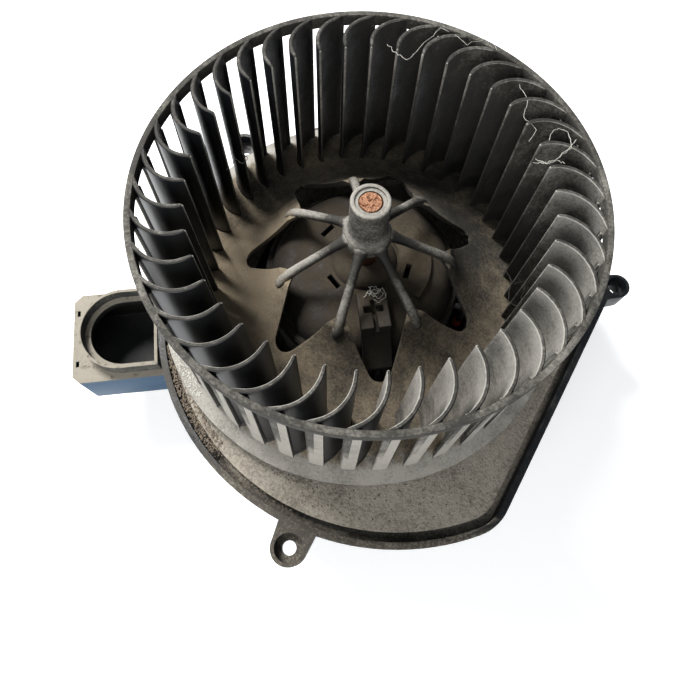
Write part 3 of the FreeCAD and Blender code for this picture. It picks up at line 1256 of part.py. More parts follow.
def rounded_path(points, bend):
    """A wire of straight runs joined by tangent arcs."""
    edges = []
    start = points[0]
    for before, corner, after in zip(points, points[1:], points[2:]):
        inward = (before - corner).normalize()
        outward = (after - corner).normalize()
        half = inward.getAngle(outward) / 2
        limit = 0.45 * min((before - corner).Length, (after - corner).Length)
        cutoff = min(bend / math.tan(half), limit)
        radius = cutoff * math.tan(half)
        first, last = corner + inward * cutoff, corner + outward * cutoff
        middle = (inward + outward).normalize()
        centre = corner + middle * (cutoff / math.cos(half))
        edges.append(Part.LineSegment(start, first).toShape())
        edges.append(Part.Arc(first, centre - middle * radius, last).toShape())
        start = last
    edges.append(Part.LineSegment(start, points[-1]).toShape())
    return Part.Wire(edges)


def at(radius, angle, height):
    """A point given by its radius, direction and height."""
    turn = math.radians(angle)
    return Vector(radius * math.cos(turn), radius * math.sin(turn), height)


def make_lead(label, points):
    """An insulated lead swept along its clipped route."""
    path = rounded_path(points, size("lead_bend"))
    start = path.Edges[0]
    direction = start.tangentAt(start.FirstParameter)
    ring = Part.Wire([Part.makeCircle(size("lead_radius"), points[0], direction)])
    shape = path.makePipeShell([ring], True, False)
    item = doc.addObject("Part::Feature", label)
    item.Label = label
    item.Shape = shape
    item.Placement = Placement(Vector(0, 0, 0), Rotation())
    expected = math.pi * size("lead_radius") ** 2 * path.Length
    if abs(shape.Volume / expected - 1) > 0.02:
        raise RuntimeError(f"{label} has {shape.Volume:.1f} mm3 and should have {expected:.1f}")
    print(f"{label}: {path.Length:.1f} mm long")


def make_leads():
    """The positive lead round the pot and the negative lead straight down."""
    track, height = size("lead_track"), size("lead_height")
    level, guide, brush = size("lead_level"), size("guide_angle"), size("brush_angle")
    start, rest = size(f"{HOLDER_END} + 0.3"), size(f"{CARD_TOP} + lead_radius + 0.02")
    leave, clip = size("can_radius - lead_inset"), size("can_radius - lead_clip")
    ramp, straight = size("lead_ramp"), size("lead_tail")
    terminal = size("socket_foot + socket_height / 2 + terminal_height / 2 + 0.05")
    aside = math.degrees(size("blade_pitch") / track)
    make_lead("lead_negative", [
        at(start, guide, rest),
        at(leave, guide, rest),
        at(clip, guide, height),
        at(track, guide, height),
        at(track, guide, terminal + 2 * straight),
        at(track, guide - aside, terminal + straight),
        at(track, guide - aside, terminal),
    ])
    steps = 5
    last = guide + aside
    round_pot = [at(track, brush + (last - brush) * step / steps, level) for step in range(1, steps)]
    make_lead("lead_positive", [
        at(start, brush, rest),
        at(leave, brush, rest),
        at(clip, brush, height),
        at(track, brush, height),
        at(track, brush, level + ramp),
        *round_pot,
        at(track, last, level - ramp),
        at(track, last, terminal),
    ])


def make_lead_sleeve():
    """The short coloured sleeve that marks the positive lead."""
    body = new_body("lead_sleeve")
    outline = sketch_on(body, "sleeve_outline", turn="brush_angle")
    circle(outline, "lead_track", "0", "sleeve_radius")
    circle(outline, "lead_track", "0", "lead_radius")
    pad(body, outline, "sleeve", "sleeve_length")
    return place(body, "sleeve_foot")


# Rubber mounts

def make_rubber_mounts():
    """Three rubber blocks that hold the can in the pot and carry its weight."""
    spacing = "360 / mount_count"
    for index, name in enumerate(("a", "b", "c")):
        turn = f"mount_angle + {index} * {spacing}"
        label = f"rubber_mount_{name}"
        body = new_body(label)
        half = "mount_span / 2"
        for part, inner, foot, top in (
            ("foot", "mount_inner", "cover_wall", "can_foot"),
            ("side", "can_radius + fit_gap", "can_foot", "mount_top"),
        ):
            outer = "pot_radius - fit_gap"
            outline = draw(sketch_on(body, f"{label}_{part}_outline", lift=foot), [
                (f"({inner}) * cos({half})", f"-({inner}) * sin({half})"),
                (f"({outer}) * cos({half})", f"-({outer}) * sin({half})", outer, "left"),
                (f"({outer}) * cos({half})", f"({outer}) * sin({half})"),
                (f"({inner}) * cos({half})", f"({inner}) * sin({half})", inner, "right"),
            ])
            pad(body, outline, f"{label}_{part}", f"({top}) - ({foot})")
        place(body, turn=turn)


NODES = [
    "fan_wheel", "motor_shaft", "armature_core", "armature_windings", "commutator",
    "thrust_collar_upper", "thrust_collar_lower", "mounting_plate", "base_cover", "cover_screws",
    "duct_box", "duct_cover", "motor_can", "upper_end_bell", "magnet_a", "magnet_b",
    "magnet_clip_a", "magnet_clip_b", "upper_bearing", "lower_bearing", "upper_felt", "lower_felt",
    "upper_retainer", "lower_retainer", "brush_card", "brush_a", "brush_b", "brush_spring_a",
    "brush_spring_b", "choke_a", "choke_b", "rubber_mount_a", "rubber_mount_b", "rubber_mount_c",
    "lead_guide", "lead_positive", "lead_sleeve", "lead_negative", "connector_socket", "terminal_a", "terminal_b",
]


def check_and_write():
    """Stops on any failed object, then writes each sub-part's solids."""
    doc.recompute()
    for item in doc.Objects:
        if "Invalid" in item.State or "Error" in item.State:
            raise RuntimeError(f"{item.Label} failed: {item.State}")
    by_label = {item.Label: item for item in doc.Objects}
    for node in NODES:
        shape = by_label[node].Shape
        if shape.isNull() or not shape.isValid() or not shape.Solids:
            raise RuntimeError(f"{node} has no valid solid")
    os.makedirs("parts", exist_ok=True)
    for node in NODES:
        shape = by_label[node].Shape
        shape.exportStep(f"parts/{node}.step")
        print(f"{node}: {len(shape.Solids)} solid, {shape.Volume:.0f} mm3")


fill_sheet()
make_fan_wheel()
make_mounting_plate()
make_base_cover()
make_cover_screws()
make_duct_box()
make_duct_cover()
make_motor_shaft()
make_motor_can()
make_upper_end_bell()
make_bearings()
make_magnets()
make_armature_core()
make_armature_windings()
make_commutator()
make_thrust_collars()
make_brush_card()
make_brushes()
make_brush_springs()
make_chokes()
make_lead_guide()
make_connector()
make_leads()
make_lead_sleeve()
make_rubber_mounts()
check_and_write()
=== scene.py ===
"""Looks of a used car cabin blower motor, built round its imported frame.

Lengths in this file are millimetres in the frame of the CAD, and the meshes
are scaled to metres when they are made.
"""

import json
import logging
import math
import random
from collections.abc import Iterable, Sequence
from dataclasses import dataclass
from enum import Enum
from functools import cache

import bmesh
import bpy
from mathutils import Matrix, Vector


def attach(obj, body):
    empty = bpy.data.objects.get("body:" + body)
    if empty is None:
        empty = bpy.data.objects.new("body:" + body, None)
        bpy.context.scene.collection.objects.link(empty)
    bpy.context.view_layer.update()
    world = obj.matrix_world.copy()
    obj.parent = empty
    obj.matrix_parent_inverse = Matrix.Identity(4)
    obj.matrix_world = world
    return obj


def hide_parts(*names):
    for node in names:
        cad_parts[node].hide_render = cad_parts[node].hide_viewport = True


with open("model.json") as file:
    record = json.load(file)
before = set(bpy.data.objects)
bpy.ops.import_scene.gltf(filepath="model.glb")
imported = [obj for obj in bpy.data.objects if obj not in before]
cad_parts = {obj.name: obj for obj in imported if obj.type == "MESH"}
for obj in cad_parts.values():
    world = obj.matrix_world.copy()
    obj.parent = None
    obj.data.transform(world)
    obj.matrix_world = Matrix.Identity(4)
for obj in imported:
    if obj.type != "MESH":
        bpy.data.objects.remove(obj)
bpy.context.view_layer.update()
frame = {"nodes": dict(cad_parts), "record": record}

MM = 0.001
WHITE = (1.0, 1.0, 1.0, 1.0)
# Points of a new mesh that are closer than this, in millimetres, become one
MERGE_MM = 0.004
BEVEL_STEPS = 2
# Width of a crumb against its length, and the upper end of its random turn in radians
CRUMB_FLATNESS = 0.6
FULL_TURN = 6.28
LOG = logging.getLogger("blower")
Point = tuple[float, float, float]
Profile = Sequence[tuple[float, float]]
Socket = bpy.types.NodeSocket
Tree = bpy.types.NodeTree
Thing = bpy.types.Object
Material = bpy.types.Material


class Body(Enum):
    """The two bodies of the frame that pieces ride on."""

    HOUSING = "housing"
    ROTOR = "rotor"


def unit(value: float) -> float:
    """A value held between zero and one."""
    return min(max(value, 0.0), 1.0)


# Node and material helpers


def linear(code: str) -> tuple[float, float, float, float]:
    """Turns an sRGB hex colour to linear light.

    Args:
        code: Six hex digits, with or without the leading sign.

    Returns:
        Red, green, blue and an alpha of one.
    """
    digits = code.lstrip("#")
    parts = [int(digits[at : at + 2], 16) / 255 for at in (0, 2, 4)]
    light = [part / 12.92 if part <= 0.04045 else ((part + 0.055) / 1.055) ** 2.4 for part in parts]
    return (light[0], light[1], light[2], 1.0)


def node(tree: Tree, kind: str, inputs: dict | None = None, **settings: object) -> bpy.types.Node:
    """Adds one node with its settings and links.

    Args:
        tree: The tree that gets the node.
        kind: The node's type name.
        inputs: Socket name or index, with a plain value or a socket to link.
        **settings: Attributes of the node itself.

    Returns:
        The new node.
    """
    made = tree.nodes.new(kind)
    for name, value in settings.items():
        setattr(made, name, value)
    for key, value in (inputs or {}).items():
        if isinstance(value, Socket):
            tree.links.new(value, made.inputs[key])
        else:
            made.inputs[key].default_value = value
    return made


class Graph:
    """A node tree in the making, with short forms of its nodes."""

    tree: Tree

    def add(self, kind: str, inputs: dict | None = None, result: int | str = 0,
            **settings: object) -> Socket:
        """Adds a node and gives one of its outputs."""
        return node(self.tree, kind, inputs, **settings).outputs[result]

    def math(self, operation: str, *values: object, clamp: bool = False) -> Socket:
        """Combines values or sockets by one operation."""
        return self.add("ShaderNodeMath", dict(enumerate(values)), operation=operation, use_clamp=clamp)

    def end(self, kind: str, result: Socket) -> None:
        """Links the tree's result to its output node."""
        node(self.tree, kind, {0: result})


class Shading(Graph):
    """A material in the making."""

    def __init__(self, name: str) -> None:
        """Starts an empty material."""
        self.material = bpy.data.materials.new(name)
        self.material.use_nodes = True
        self.tree = self.material.node_tree
        self.tree.nodes.clear()
        self.place = self.add("ShaderNodeTexCoord", result="Object")

    def noise(self, size_mm: float, detail: float, roughness: float = 0.6) -> Socket:
        """A cloudy pattern whose patches have a real size."""
        return self.add("ShaderNodeTexNoise", {"Vector": self.place, "Scale": 1.0 / (size_mm * MM),
                                               "Detail": detail, "Roughness": roughness})

    def remap(self, value: Socket, span: tuple[float, float], result: tuple[float, float],
              **settings: object) -> Socket:
        """Maps a span of values to another one."""
        return self.add("ShaderNodeMapRange", dict(enumerate((value, *span, *result))), **settings)

    def ramp(self, value: Socket, low: float, high: float, top: float = 1.0) -> Socket:
        """A smooth rise from nothing to the top value."""
        return self.remap(value, (low, high), (0.0, top), interpolation_type="SMOOTHSTEP")

    def mix(self, share: Socket, low: object, high: object) -> Socket:
        """Blends two colours or sockets of colours."""
        return self.add("ShaderNodeMix", {0: share, 6: low, 7: high}, 2, data_type="RGBA")

    def painted(self, attribute: str) -> Socket:
        """The value that the mesh carries under a name."""
        return self.add("ShaderNodeAttribute", result="Fac", attribute_name=attribute)

    def bump(self, strength: float, depth_mm: float, height: Socket) -> Socket:
        """The surface's direction with a fine relief."""
        given = {"Strength": strength, "Distance": depth_mm * MM, "Height": height}
        return self.add("ShaderNodeBump", given)

    def surface(self, inputs: dict[str, object]) -> Material:
        """Closes the material with a surface of the given inputs."""
        self.end("ShaderNodeOutputMaterial", self.add("ShaderNodeBsdfPrincipled", inputs))
        return self.material


@dataclass(frozen=True)
class Patch:
    """A soft round area with more dust, or less where the amount is negative; the wheel's two are a painted
    pool of light and a painted shade.
    """

    x: float
    y: float
    z: float
    reach: float
    amount: float


@dataclass(frozen=True)
class DustyPlastic:
    """Moulded black polypropylene under settled road and cabin dust.

    The bare plastic is satin and its colour slightly blue, strongly blue on
    the duct: a painted reflection of the sky. A thin film of dust makes it
    brown-grey, thick dust is paler and matte. Dust lies on faces that look up,
    less on walls, in soft patches, and where the mesh's "dust" attribute says;
    some patches and that attribute also carry painted light and painted shade.
    Where its "inner" attribute is one, plastic and dust have inner colours,
    without the painted reflection.
    """

    name: str
    plastic: str
    film: str
    dust: str
    soil: str
    level: float = 0.9
    wall: float = 0.3
    patch_mm: float = 22.0
    soil_share: float = 0.45
    gloss: float = 0.42
    grit: float = 0.25
    marked: bool = False
    patches: tuple[Patch, ...] = ()
    inner_plastic: str = ""
    inner_dust: str = ""
    speck: float = 0.1
    grain_mm: float = 0.9
    crumb_mm: float = 2.4

    def material(self) -> Material:
        """Builds the shader.

        Returns:
            The finished material.
        """
        shade = Shading(self.name)
        grain, crumbs = shade.noise(self.grain_mm, 3.0), shade.noise(self.crumb_mm, 5.0)
        speck = shade.remap(grain, (0.3, 0.7), (-self.speck, self.speck), clamp=False)
        cover = shade.math("ADD", self.lie(shade), speck, clamp=True)
        dust, plastic = linear(self.dust), linear(self.plastic)
        if self.inner_dust:
            inner = shade.painted("inner")
            dust = shade.mix(inner, dust, linear(self.inner_dust))
            plastic = shade.mix(inner, plastic, linear(self.inner_plastic))
        soil_from = 0.66 - self.soil_share * 0.3
        settled = shade.mix(shade.ramp(crumbs, soil_from, soil_from + 0.2, 0.8), dust, linear(self.soil))
        thin = shade.mix(shade.ramp(cover, 0.0, 0.5), plastic, linear(self.film))
        raised = shade.math("MULTIPLY", shade.math("ADD", grain, crumbs), cover)
        return shade.surface({
            "Base Color": shade.mix(shade.ramp(cover, 0.35, 0.95), thin, settled),
            "Roughness": shade.remap(cover, (0.0, 0.45), (self.gloss, 0.93)),
            "IOR": 1.49, "Normal": shade.bump(0.55, self.grit, raised)})

    def lie(self, shade: Shading) -> Socket:
        """How thick the dust lies, with the painted light and shade that it carries, before its grain.

        Args:
            shade: The material in the making.

        Returns:
            A value of about zero to one.
        """
        facing = shade.add("ShaderNodeNewGeometry", result="Normal")
        upward = shade.add("ShaderNodeSeparateXYZ", {0: facing}, "Z")
        total = shade.remap(upward, (0.05, 0.8), (self.wall, self.level), interpolation_type="SMOOTHSTEP")
        # The dust attribute also carries painted light on the wheel and painted shade in the duct's hollow
        if self.marked:
            total = shade.math("ADD", total, shade.painted("dust"))
        # The wheel's patches are a painted pool of light and a painted shade
        for patch in self.patches:
            given = {0: shade.place, 1: (patch.x * MM, patch.y * MM, patch.z * MM)}
            away = shade.add("ShaderNodeVectorMath", given, "Value", operation="DISTANCE")
            share = shade.remap(away, (0.0, patch.reach * MM), (patch.amount, 0.0),
                                interpolation_type="SMOOTHERSTEP")
            total = shade.math("ADD", total, share)
        drift = shade.math("MULTIPLY_ADD", shade.noise(self.patch_mm, 4.0), 0.7, -0.35)
        fleck = shade.math("MULTIPLY_ADD", shade.noise(self.patch_mm / 5, 6.0), 0.34, -0.17)
        return shade.math("ADD", total, shade.math("ADD", drift, fleck))


@dataclass(frozen=True)
class WornMetal:
    """Bare metal with rust or tarnish in patches."""

    name: str
    metal: str
    tarnish: str
    share: float = 0.4
    patch_mm: float = 3.0
    shine: float = 0.35
    pits: float = 0.3

    def material(self) -> Material:
        """Builds the shader.

        Returns:
            The finished material.
        """
        shade = Shading(self.name)
        patch = shade.noise(self.patch_mm, 6.0, 0.7)
        rust = shade.ramp(patch, 0.75 - self.share * 0.6, 0.95 - self.share * 0.6)
        return shade.surface({
            "Base Color": shade.mix(rust, linear(self.metal), linear(self.tarnish)), "Metallic": 1.0,
            "Roughness": shade.remap(rust, (0.0, 1.0), (self.shine, 0.85)),
            "Normal": shade.bump(self.pits, 0.3, patch)})


@dataclass(frozen=True)
class PlainSurface:
    """A clean, even non-metal such as insulation, rubber or felt."""

    name: str
    colour: str
    roughness: float = 0.6

    def material(self) -> Material:
        """Builds the shader."""
        given = {"Base Color": linear(self.colour), "Roughness": self.roughness, "IOR": 1.5}
        return Shading(self.name).surface(given)


# Moulded polypropylene of the fan wheel, near black, with grey dust that is browner on the disc, and painted
# light and shade on the disc
WHEEL_PLASTIC = DustyPlastic(
    "wheel_dust_painted_light_and_shade", "#0c0e11", "#26231d", "#8b8881", "#554d43", level=0.4, wall=0.12,
    soil_share=0.2, marked=True, inner_plastic="#15120d", inner_dust="#7d705c",
    # The first patch is painted light on the disc's left front, where the window light falls; the second is
    # painted shade at the far right
    patches=(Patch(-38.0, -30.0, 80.0, 55.0, 0.35), Patch(30.0, 52.0, 80.0, 60.0, -0.2)))
# The plate is the same resin, filled with talc, and carries more loose dirt
PLATE_PLASTIC = DustyPlastic(
    "dusty_filled_polypropylene", "#0e1114", "#3d3830", "#8a8377", "#5e5346", level=0.78, wall=0.05,
    soil_share=0.42, gloss=0.3, grit=0.5, speck=0.16, marked=True)
# The duct's plastic colour is painted blue: a painted reflection of the sky on its clean outer walls
DUCT_PLASTIC = DustyPlastic(
    "duct_dust_painted_reflection_and_shade", "#123a55", "#262826", "#8d877b", "#4a4136", level=0.75, wall=0.1,
    gloss=0.6, marked=True, inner_plastic="#0d0c0a", inner_dust="#7f796d")
# Grey nylon cap and lead guide over the motor, with thin brown dust; the dark dust colours are partly
# painted shade under the wheel
CAP_PLASTIC = DustyPlastic(
    "nylon_cap_dust_and_painted_shade", "#131313", "#261e13", "#443b28", "#2a2115", level=0.42, wall=0.1, patch_mm=12.0,
    patches=(Patch(4.0, 8.0, 70.0, 34.0, 0.25),))
CAN_STEEL = WornMetal("zinc_plated_steel", "#a9a9a4", "#6f6658", share=0.35, patch_mm=9.0, shine=0.4)
# Loose dirt of the photograph: spider silk and cloth fibres, lint, soil and house dust
FIBRE = PlainSurface("pale_fibres", "#a9a69d", 0.9)
DARK_FIBRE = PlainSurface("dark_lint", "#1f1d19", 0.95)
LOOSE_SOIL = PlainSurface("loose_soil", "#5f5548", 0.98)
FLUFF = PlainSurface("pale_fluff", "#b1afa8", 0.98)

SLOT_FINISHES = {
    "fan_plastic": WHEEL_PLASTIC,
    "plate_plastic": PLATE_PLASTIC,
    "duct_plastic": DUCT_PLASTIC,
    "guide_plastic": PlainSurface("black_nylon", "#1c1c1d", 0.5),
    "card_plastic": PlainSurface("brown_phenolic", "#5d4a30", 0.55),
    "shaft_steel": WornMetal("rusty_ground_steel", "#84614c", "#50301f", share=0.5, patch_mm=1.6, shine=0.45,
                             pits=0.9),
    "lamination_steel": WornMetal("punched_laminations", "#8d8f92", "#6b5344", share=0.3, patch_mm=6.0),
    "can_steel": CAN_STEEL,
    "bell_steel": CAP_PLASTIC,
    "spring_steel": WornMetal("spring_strip", "#b5b5b2", "#8a8578", share=0.2, patch_mm=4.0, shine=0.3),
    "screw_steel": CAN_STEEL,
    "winding_copper": WornMetal("enamelled_copper", "#b8683c", "#7a3d22", share=0.3, shine=0.3),
    "terminal_brass": WornMetal("stamped_brass", "#c9a557", "#8c7442", share=0.25, patch_mm=4.0, shine=0.3),
    "bearing_bronze": WornMetal("sintered_bronze", "#8f6b3d", "#5e4528", share=0.4, patch_mm=1.5, shine=0.5),
    "magnet_ferrite": PlainSurface("ground_ferrite", "#2a2a2c", 0.6),
    "brush_carbon": PlainSurface("pressed_carbon", "#222222", 0.7),
    "oil_felt": PlainSurface("oiled_felt", "#7c7360", 0.95),
    "mount_rubber": PlainSurface("soft_rubber", "#19191a", 0.85),
    "lead_orange": PlainSurface("orange_insulation", "#b0472a", 0.5),
    "lead_black": PlainSurface("black_insulation", "#161616", 0.5),
}


@cache
def paint(finish: DustyPlastic | WornMetal | PlainSurface) -> Material:
    """The material of a finish, made on its first use."""
    return finish.material()


# Mesh helpers


def link(name: str, data: bpy.types.ID) -> Thing:
    """Puts a new object with its data into the scene.

    Args:
        name: The object's name.
        data: Its mesh, camera or light.

    Returns:
        The object, at the origin.
    """
    made = bpy.data.objects.new(name, data)
    bpy.context.scene.collection.objects.link(made)
    return made


def turned(radius: float, turn: float, height: float) -> Point:
    """The point at a radius, a direction in radians and a height."""
    return (radius * math.cos(turn), radius * math.sin(turn), height)


def grid(rows: int, columns: int, ring_rows: bool = False,
         ring_columns: bool = False) -> list[tuple[int, ...]]:
    """Quads between neighbouring points of a grid.

    Args:
        rows: Rows of points.
        columns: Points in each row.
        ring_rows: The last row meets the first one.
        ring_columns: The last point of a row meets its first one.

    Returns:
        The faces.
    """
    faces = []
    for row in range(rows - (not ring_rows)):
        low, high = row * columns, (row + 1) % rows * columns
        for at in range(columns - (not ring_columns)):
            after = (at + 1) % columns
            faces.append((low + at, low + after, high + after, high + at))
    return faces


def mesh_object(name: str, points: Sequence[Point], faces: Iterable[Sequence[int]]) -> Thing:
    """An object of points in millimetres, merged and with its faces outwards.

    Args:
        name: The object's name.
        points: Its points.
        faces: Its faces.

    Returns:
        The object, linked to the scene at the origin.
    """
    data = bpy.data.meshes.new(name)
    data.from_pydata([tuple(value * MM for value in point) for point in points], [], list(faces))
    work = bmesh.new()
    work.from_mesh(data)
    bmesh.ops.remove_doubles(work, verts=work.verts, dist=MERGE_MM * MM)
    bmesh.ops.dissolve_degenerate(work, edges=work.edges, dist=MERGE_MM * MM)
    bmesh.ops.recalc_face_normals(work, faces=work.faces)
    work.to_mesh(data)
    work.free()
    return link(name, data)


def lathe(name: str, profile: Profile, segments: int) -> Thing:
    """A closed profile turned about the vertical axis.

    Args:
        name: The object's name.
        profile: Radius and height of each point, in order round the profile.
        segments: Steps of the full turn.

    Returns:
        The turned object.
    """
    turns = [2 * math.pi * step / segments for step in range(segments)]
    points = [turned(radius, turn, height) for turn in turns for radius, height in profile]
    return mesh_object(name, points, grid(segments, len(profile), True, True))


def loft(name: str, rings: Sequence[Sequence[Point]]) -> Thing:
    """A closed tube through rings of equal count, with flat ends.

    Args:
        name: The object's name.
        rings: Rings of points, in order.

    Returns:
        The lofted object.
    """
    rows, count = len(rings), len(rings[0])
    ends = [tuple(range(count)), tuple(range((rows - 1) * count, rows * count))]
    points = [point for ring in rings for point in ring]
    return mesh_object(name, points, grid(rows, count, ring_columns=True) + ends)


def mark(piece: Thing, domain: str, values: Sequence[tuple[float, float]]) -> None:
    """Writes extra dust, with any painted light and painted shade, and the share of the inner colours to a
    mesh.

    Args:
        piece: The piece.
        domain: POINT or CORNER.
        values: Both values for each point or corner.
    """
    for column, name in enumerate(("dust", "inner")):
        made = piece.data.attributes.new(name, "FLOAT", domain)
        made.data.foreach_set("value", [value[column] for value in values])


def smooth(piece: Thing, angle: float) -> Thing:
    """Shades a piece smooth, with sharp edges over an angle.

    Args:
        piece: The piece.
        angle: Edges sharper than this stay sharp, in degrees.

    Returns:
        The same piece.
    """
    piece.data.shade_smooth()
    piece.data.set_sharp_from_angle(angle=math.radians(angle))
    return piece


def plain(piece: Thing) -> Thing:
    """Applies all modifiers and leaves a plain mesh.

    Args:
        piece: The piece.

    Returns:
        The same object, with its evaluated mesh.
    """
    bpy.context.view_layer.update()
    graph = bpy.context.evaluated_depsgraph_get()
    data = bpy.data.meshes.new_from_object(piece.evaluated_get(graph), preserve_all_data_layers=True,
                                           depsgraph=graph)
    piece.modifiers.clear()
    piece.data = data
    return piece


def soften(piece: Thing, width: float, angle: float = 40.0) -> Thing:
    """Rounds the sharp edges of a piece.

    Args:
        piece: The piece.
        width: Width of the rounding in millimetres.
        angle: Edges sharper than this are rounded, in degrees.

    Returns:
        The same piece with its modifier applied.
    """
    bevel = piece.modifiers.new("rounded_edges", "BEVEL")
    bevel.width = width * MM
    bevel.segments = BEVEL_STEPS
    bevel.limit_method = "ANGLE"
    bevel.angle_limit = math.radians(angle)
    bevel.use_clamp_overlap = True
    return plain(piece)


class Pattern(Graph):
    """A geometry node group that turns a piece into many, with named inputs."""

    def __init__(self, name: str, sockets: dict[str, str]) -> None:
        """Starts the group with its inputs by name and kind."""
        self.tree = bpy.data.node_groups.new(name, "GeometryNodeTree")
        for label, kind in sockets.items():
            self.tree.interface.new_socket(label, in_out="INPUT", socket_type=f"NodeSocket{kind}")
        self.tree.interface.new_socket("Pattern", in_out="OUTPUT", socket_type="NodeSocketGeometry")
        self.given = node(self.tree, "NodeGroupInput").outputs

    def copies(self, points: Socket, piece: Socket, angles: Socket, size: object) -> Socket:
        """Real copies of a piece at points.

        Args:
            points: Where the copies stand.
            piece: What is copied.
            angles: Each copy's turn about the three axes.
            size: Each copy's scale.

        Returns:
            The geometry of all copies.
        """
        rotation = self.add("FunctionNodeEulerToRotation", {0: angles})
        placed = self.add("GeometryNodeInstanceOnPoints",
                          {"Points": points, "Instance": piece, "Rotation": rotation, "Scale": size})
        return self.add("GeometryNodeRealizeInstances", {0: placed})

    def close(self, geometry: Socket) -> "Pattern":
        """Ends the group with its finish."""
        dressed = self.add("GeometryNodeSetMaterial", {0: geometry, "Material": self.given["Finish"]})
        self.end("NodeGroupOutput", dressed)
        return self

    def apply(self, piece: Thing, values: dict[str, object]) -> Thing:
        """Runs the group on a piece.

        Args:
            piece: The piece.
            values: The group's inputs by name.

        Returns:
            The same object, now holding the whole pattern as a plain mesh.
        """
        modifier = piece.modifiers.new(self.tree.name, "NODES")
        modifier.node_group = self.tree
        for item in self.tree.interface.items_tree:
            if item.item_type == "SOCKET" and item.in_out == "INPUT" and item.name in values:
                modifier[item.identifier] = values[item.name]
        return plain(piece)


def round_pattern() -> Pattern:
    """A node group that repeats its mesh evenly about the vertical axis."""
    made = Pattern("round_pattern", {"Piece": "Geometry", "Count": "Int", "First angle": "Float",
                                     "Merge distance": "Float", "Finish": "Material"})
    given = made.given
    places = made.add("GeometryNodeMeshLine", {"Count": given["Count"], "Offset": (0.0, 0.0, 0.0)})
    step = made.math("DIVIDE", 2 * math.pi, given["Count"])
    turn = made.math("MULTIPLY_ADD", made.add("GeometryNodeInputIndex"), step, given["First angle"])
    angles = made.add("ShaderNodeCombineXYZ", {2: turn})
    real = made.copies(places, given["Piece"], angles, (1.0, 1.0, 1.0))
    whole = made.add("GeometryNodeMergeByDistance", {0: real, "Distance": given["Merge distance"]})
    return made.close(whole)


def scatter_pattern() -> Pattern:
    """A node group that strews crumbs over a surface, so many on a square metre."""
    made = Pattern("scatter_pattern", {"Surface": "Geometry", "Density": "Float", "Smallest": "Float",
                                       "Largest": "Float", "Seed": "Int", "Finish": "Material"})
    given, seed = made.given, made.given["Seed"]
    crumb = made.add("GeometryNodeMeshIcoSphere", {"Radius": 1.0, "Subdivisions": 1})
    spots = made.add("GeometryNodeDistributePointsOnFaces",
                     {"Mesh": given["Surface"], "Density": given["Density"], "Seed": seed})
    size = made.add("FunctionNodeRandomValue", {2: given["Smallest"], 3: given["Largest"], "Seed": seed}, 1)
    flat = made.math("MULTIPLY", size, CRUMB_FLATNESS)
    shape = made.add("ShaderNodeCombineXYZ", {0: size, 1: flat, 2: flat})
    angles = made.add("FunctionNodeRandomValue", {0: (0.0, 0.0, 0.0), 1: (FULL_TURN,) * 3, "Seed": seed},
                      data_type="FLOAT_VECTOR")
    return made.close(made.copies(spots, crumb, angles, shape))


@dataclass
class Workshop:
    """What every sub-assembly needs: the two patterns, and ways to finish a piece."""

    pattern: Pattern
    scatter: Pattern
    merge_mm: float = 0.003
    flat_angle: float = 0.6

    def repeat(self, piece: Thing, count: int, first: float, finish: Material,
               merge: float = 0.002) -> Thing:
        """Repeats a piece about the vertical axis.

        Args:
            piece: One item of the pattern.
            count: How many items.
            first: Direction of the first item in degrees.
            finish: The pattern's material.
            merge: Points closer than this, in millimetres, become one.

        Returns:
            The same object, now holding the whole pattern as a plain mesh.
        """
        return self.pattern.apply(piece, {"Count": count, "First angle": math.radians(first),
                                          "Merge distance": merge * MM, "Finish": finish})

    def join(self, name: str, pieces: Sequence[Thing], finish: Material) -> Thing:
        """Joins pieces of one moulding.

        Args:
            name: Name of the joined piece.
            pieces: The pieces, which are used up.
            finish: The moulding's material.

        Returns:
            The joined object.
        """
        work = bmesh.new()
        for piece in pieces:
            work.from_mesh(piece.data)
        data = bpy.data.meshes.new(name)
        work.to_mesh(data)
        work.free()
        for piece in pieces:
            bpy.data.objects.remove(piece)
        data.materials.clear()
        data.materials.append(finish)
        data.polygons.foreach_set("material_index", [0] * len(data.polygons))
        return link(name, data)

    def settle(self, piece: Thing, body: Body, slot: str, *nodes: str) -> Thing:
        """Gives a finished piece its body and hides the CAD nodes that it stands for.

        Args:
            piece: The piece.
            body: The body it rides on.
            slot: The record's material slot; not used.
            *nodes: CAD nodes that it replaces.

        Returns:
            The same piece.
        """
        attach(piece, body.value)
        if nodes:
            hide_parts(*nodes)
        LOG.info("%s: %d faces", piece.name, len(piece.data.polygons))
        return piece

    def refine(self, source: str, name: str, width: float, finish: Material) -> Thing:
        """A copy of a CAD node with merged points and rounded edges.

        Args:
            source: The CAD node.
            name: The copy's name.
            width: Width of the rounding in millimetres.
            finish: Its material.

        Returns:
            The copy.
        """
        work = bmesh.new()
        work.from_mesh(frame["nodes"][source].data)
        bmesh.ops.remove_doubles(work, verts=work.verts, dist=self.merge_mm * MM)
        bmesh.ops.dissolve_limit(work, angle_limit=math.radians(self.flat_angle), verts=work.verts,
                                 edges=work.edges)
        data = bpy.data.meshes.new(name)
        work.to_mesh(data)
        work.free()
        data.materials.clear()
        data.materials.append(finish)
        return smooth(soften(link(name, data), width), 38.0)


# The fan wheel


@dataclass(frozen=True)
class WheelDustAndPaintedLight:
    """Extra dust on each area of the wheel, negative where it is cleaner, and painted light on the blades'
    hollow sides.
    """

    hub: float = 0.38
    spokes: float = -0.04
    ring: float = 0.4
    disc: float = 0.22
    rim_side: float = 0.25
    rim_top: float = 0.1
    strips: float = 0.75
    crests: float = 0.05
    blade_edges: float = 0.55
    edge_fall: float = 0.006
    hollows: float = 0.12
    hollow_fall: float = 0.009
    # Painted light on the blades' hollow sides, strongest at the right front, this many degrees clockwise of
    # the x axis, where the window light falls
    painted_light: float = 0.6
    painted_light_angle: float = 28.0
    blown: float = 0.4


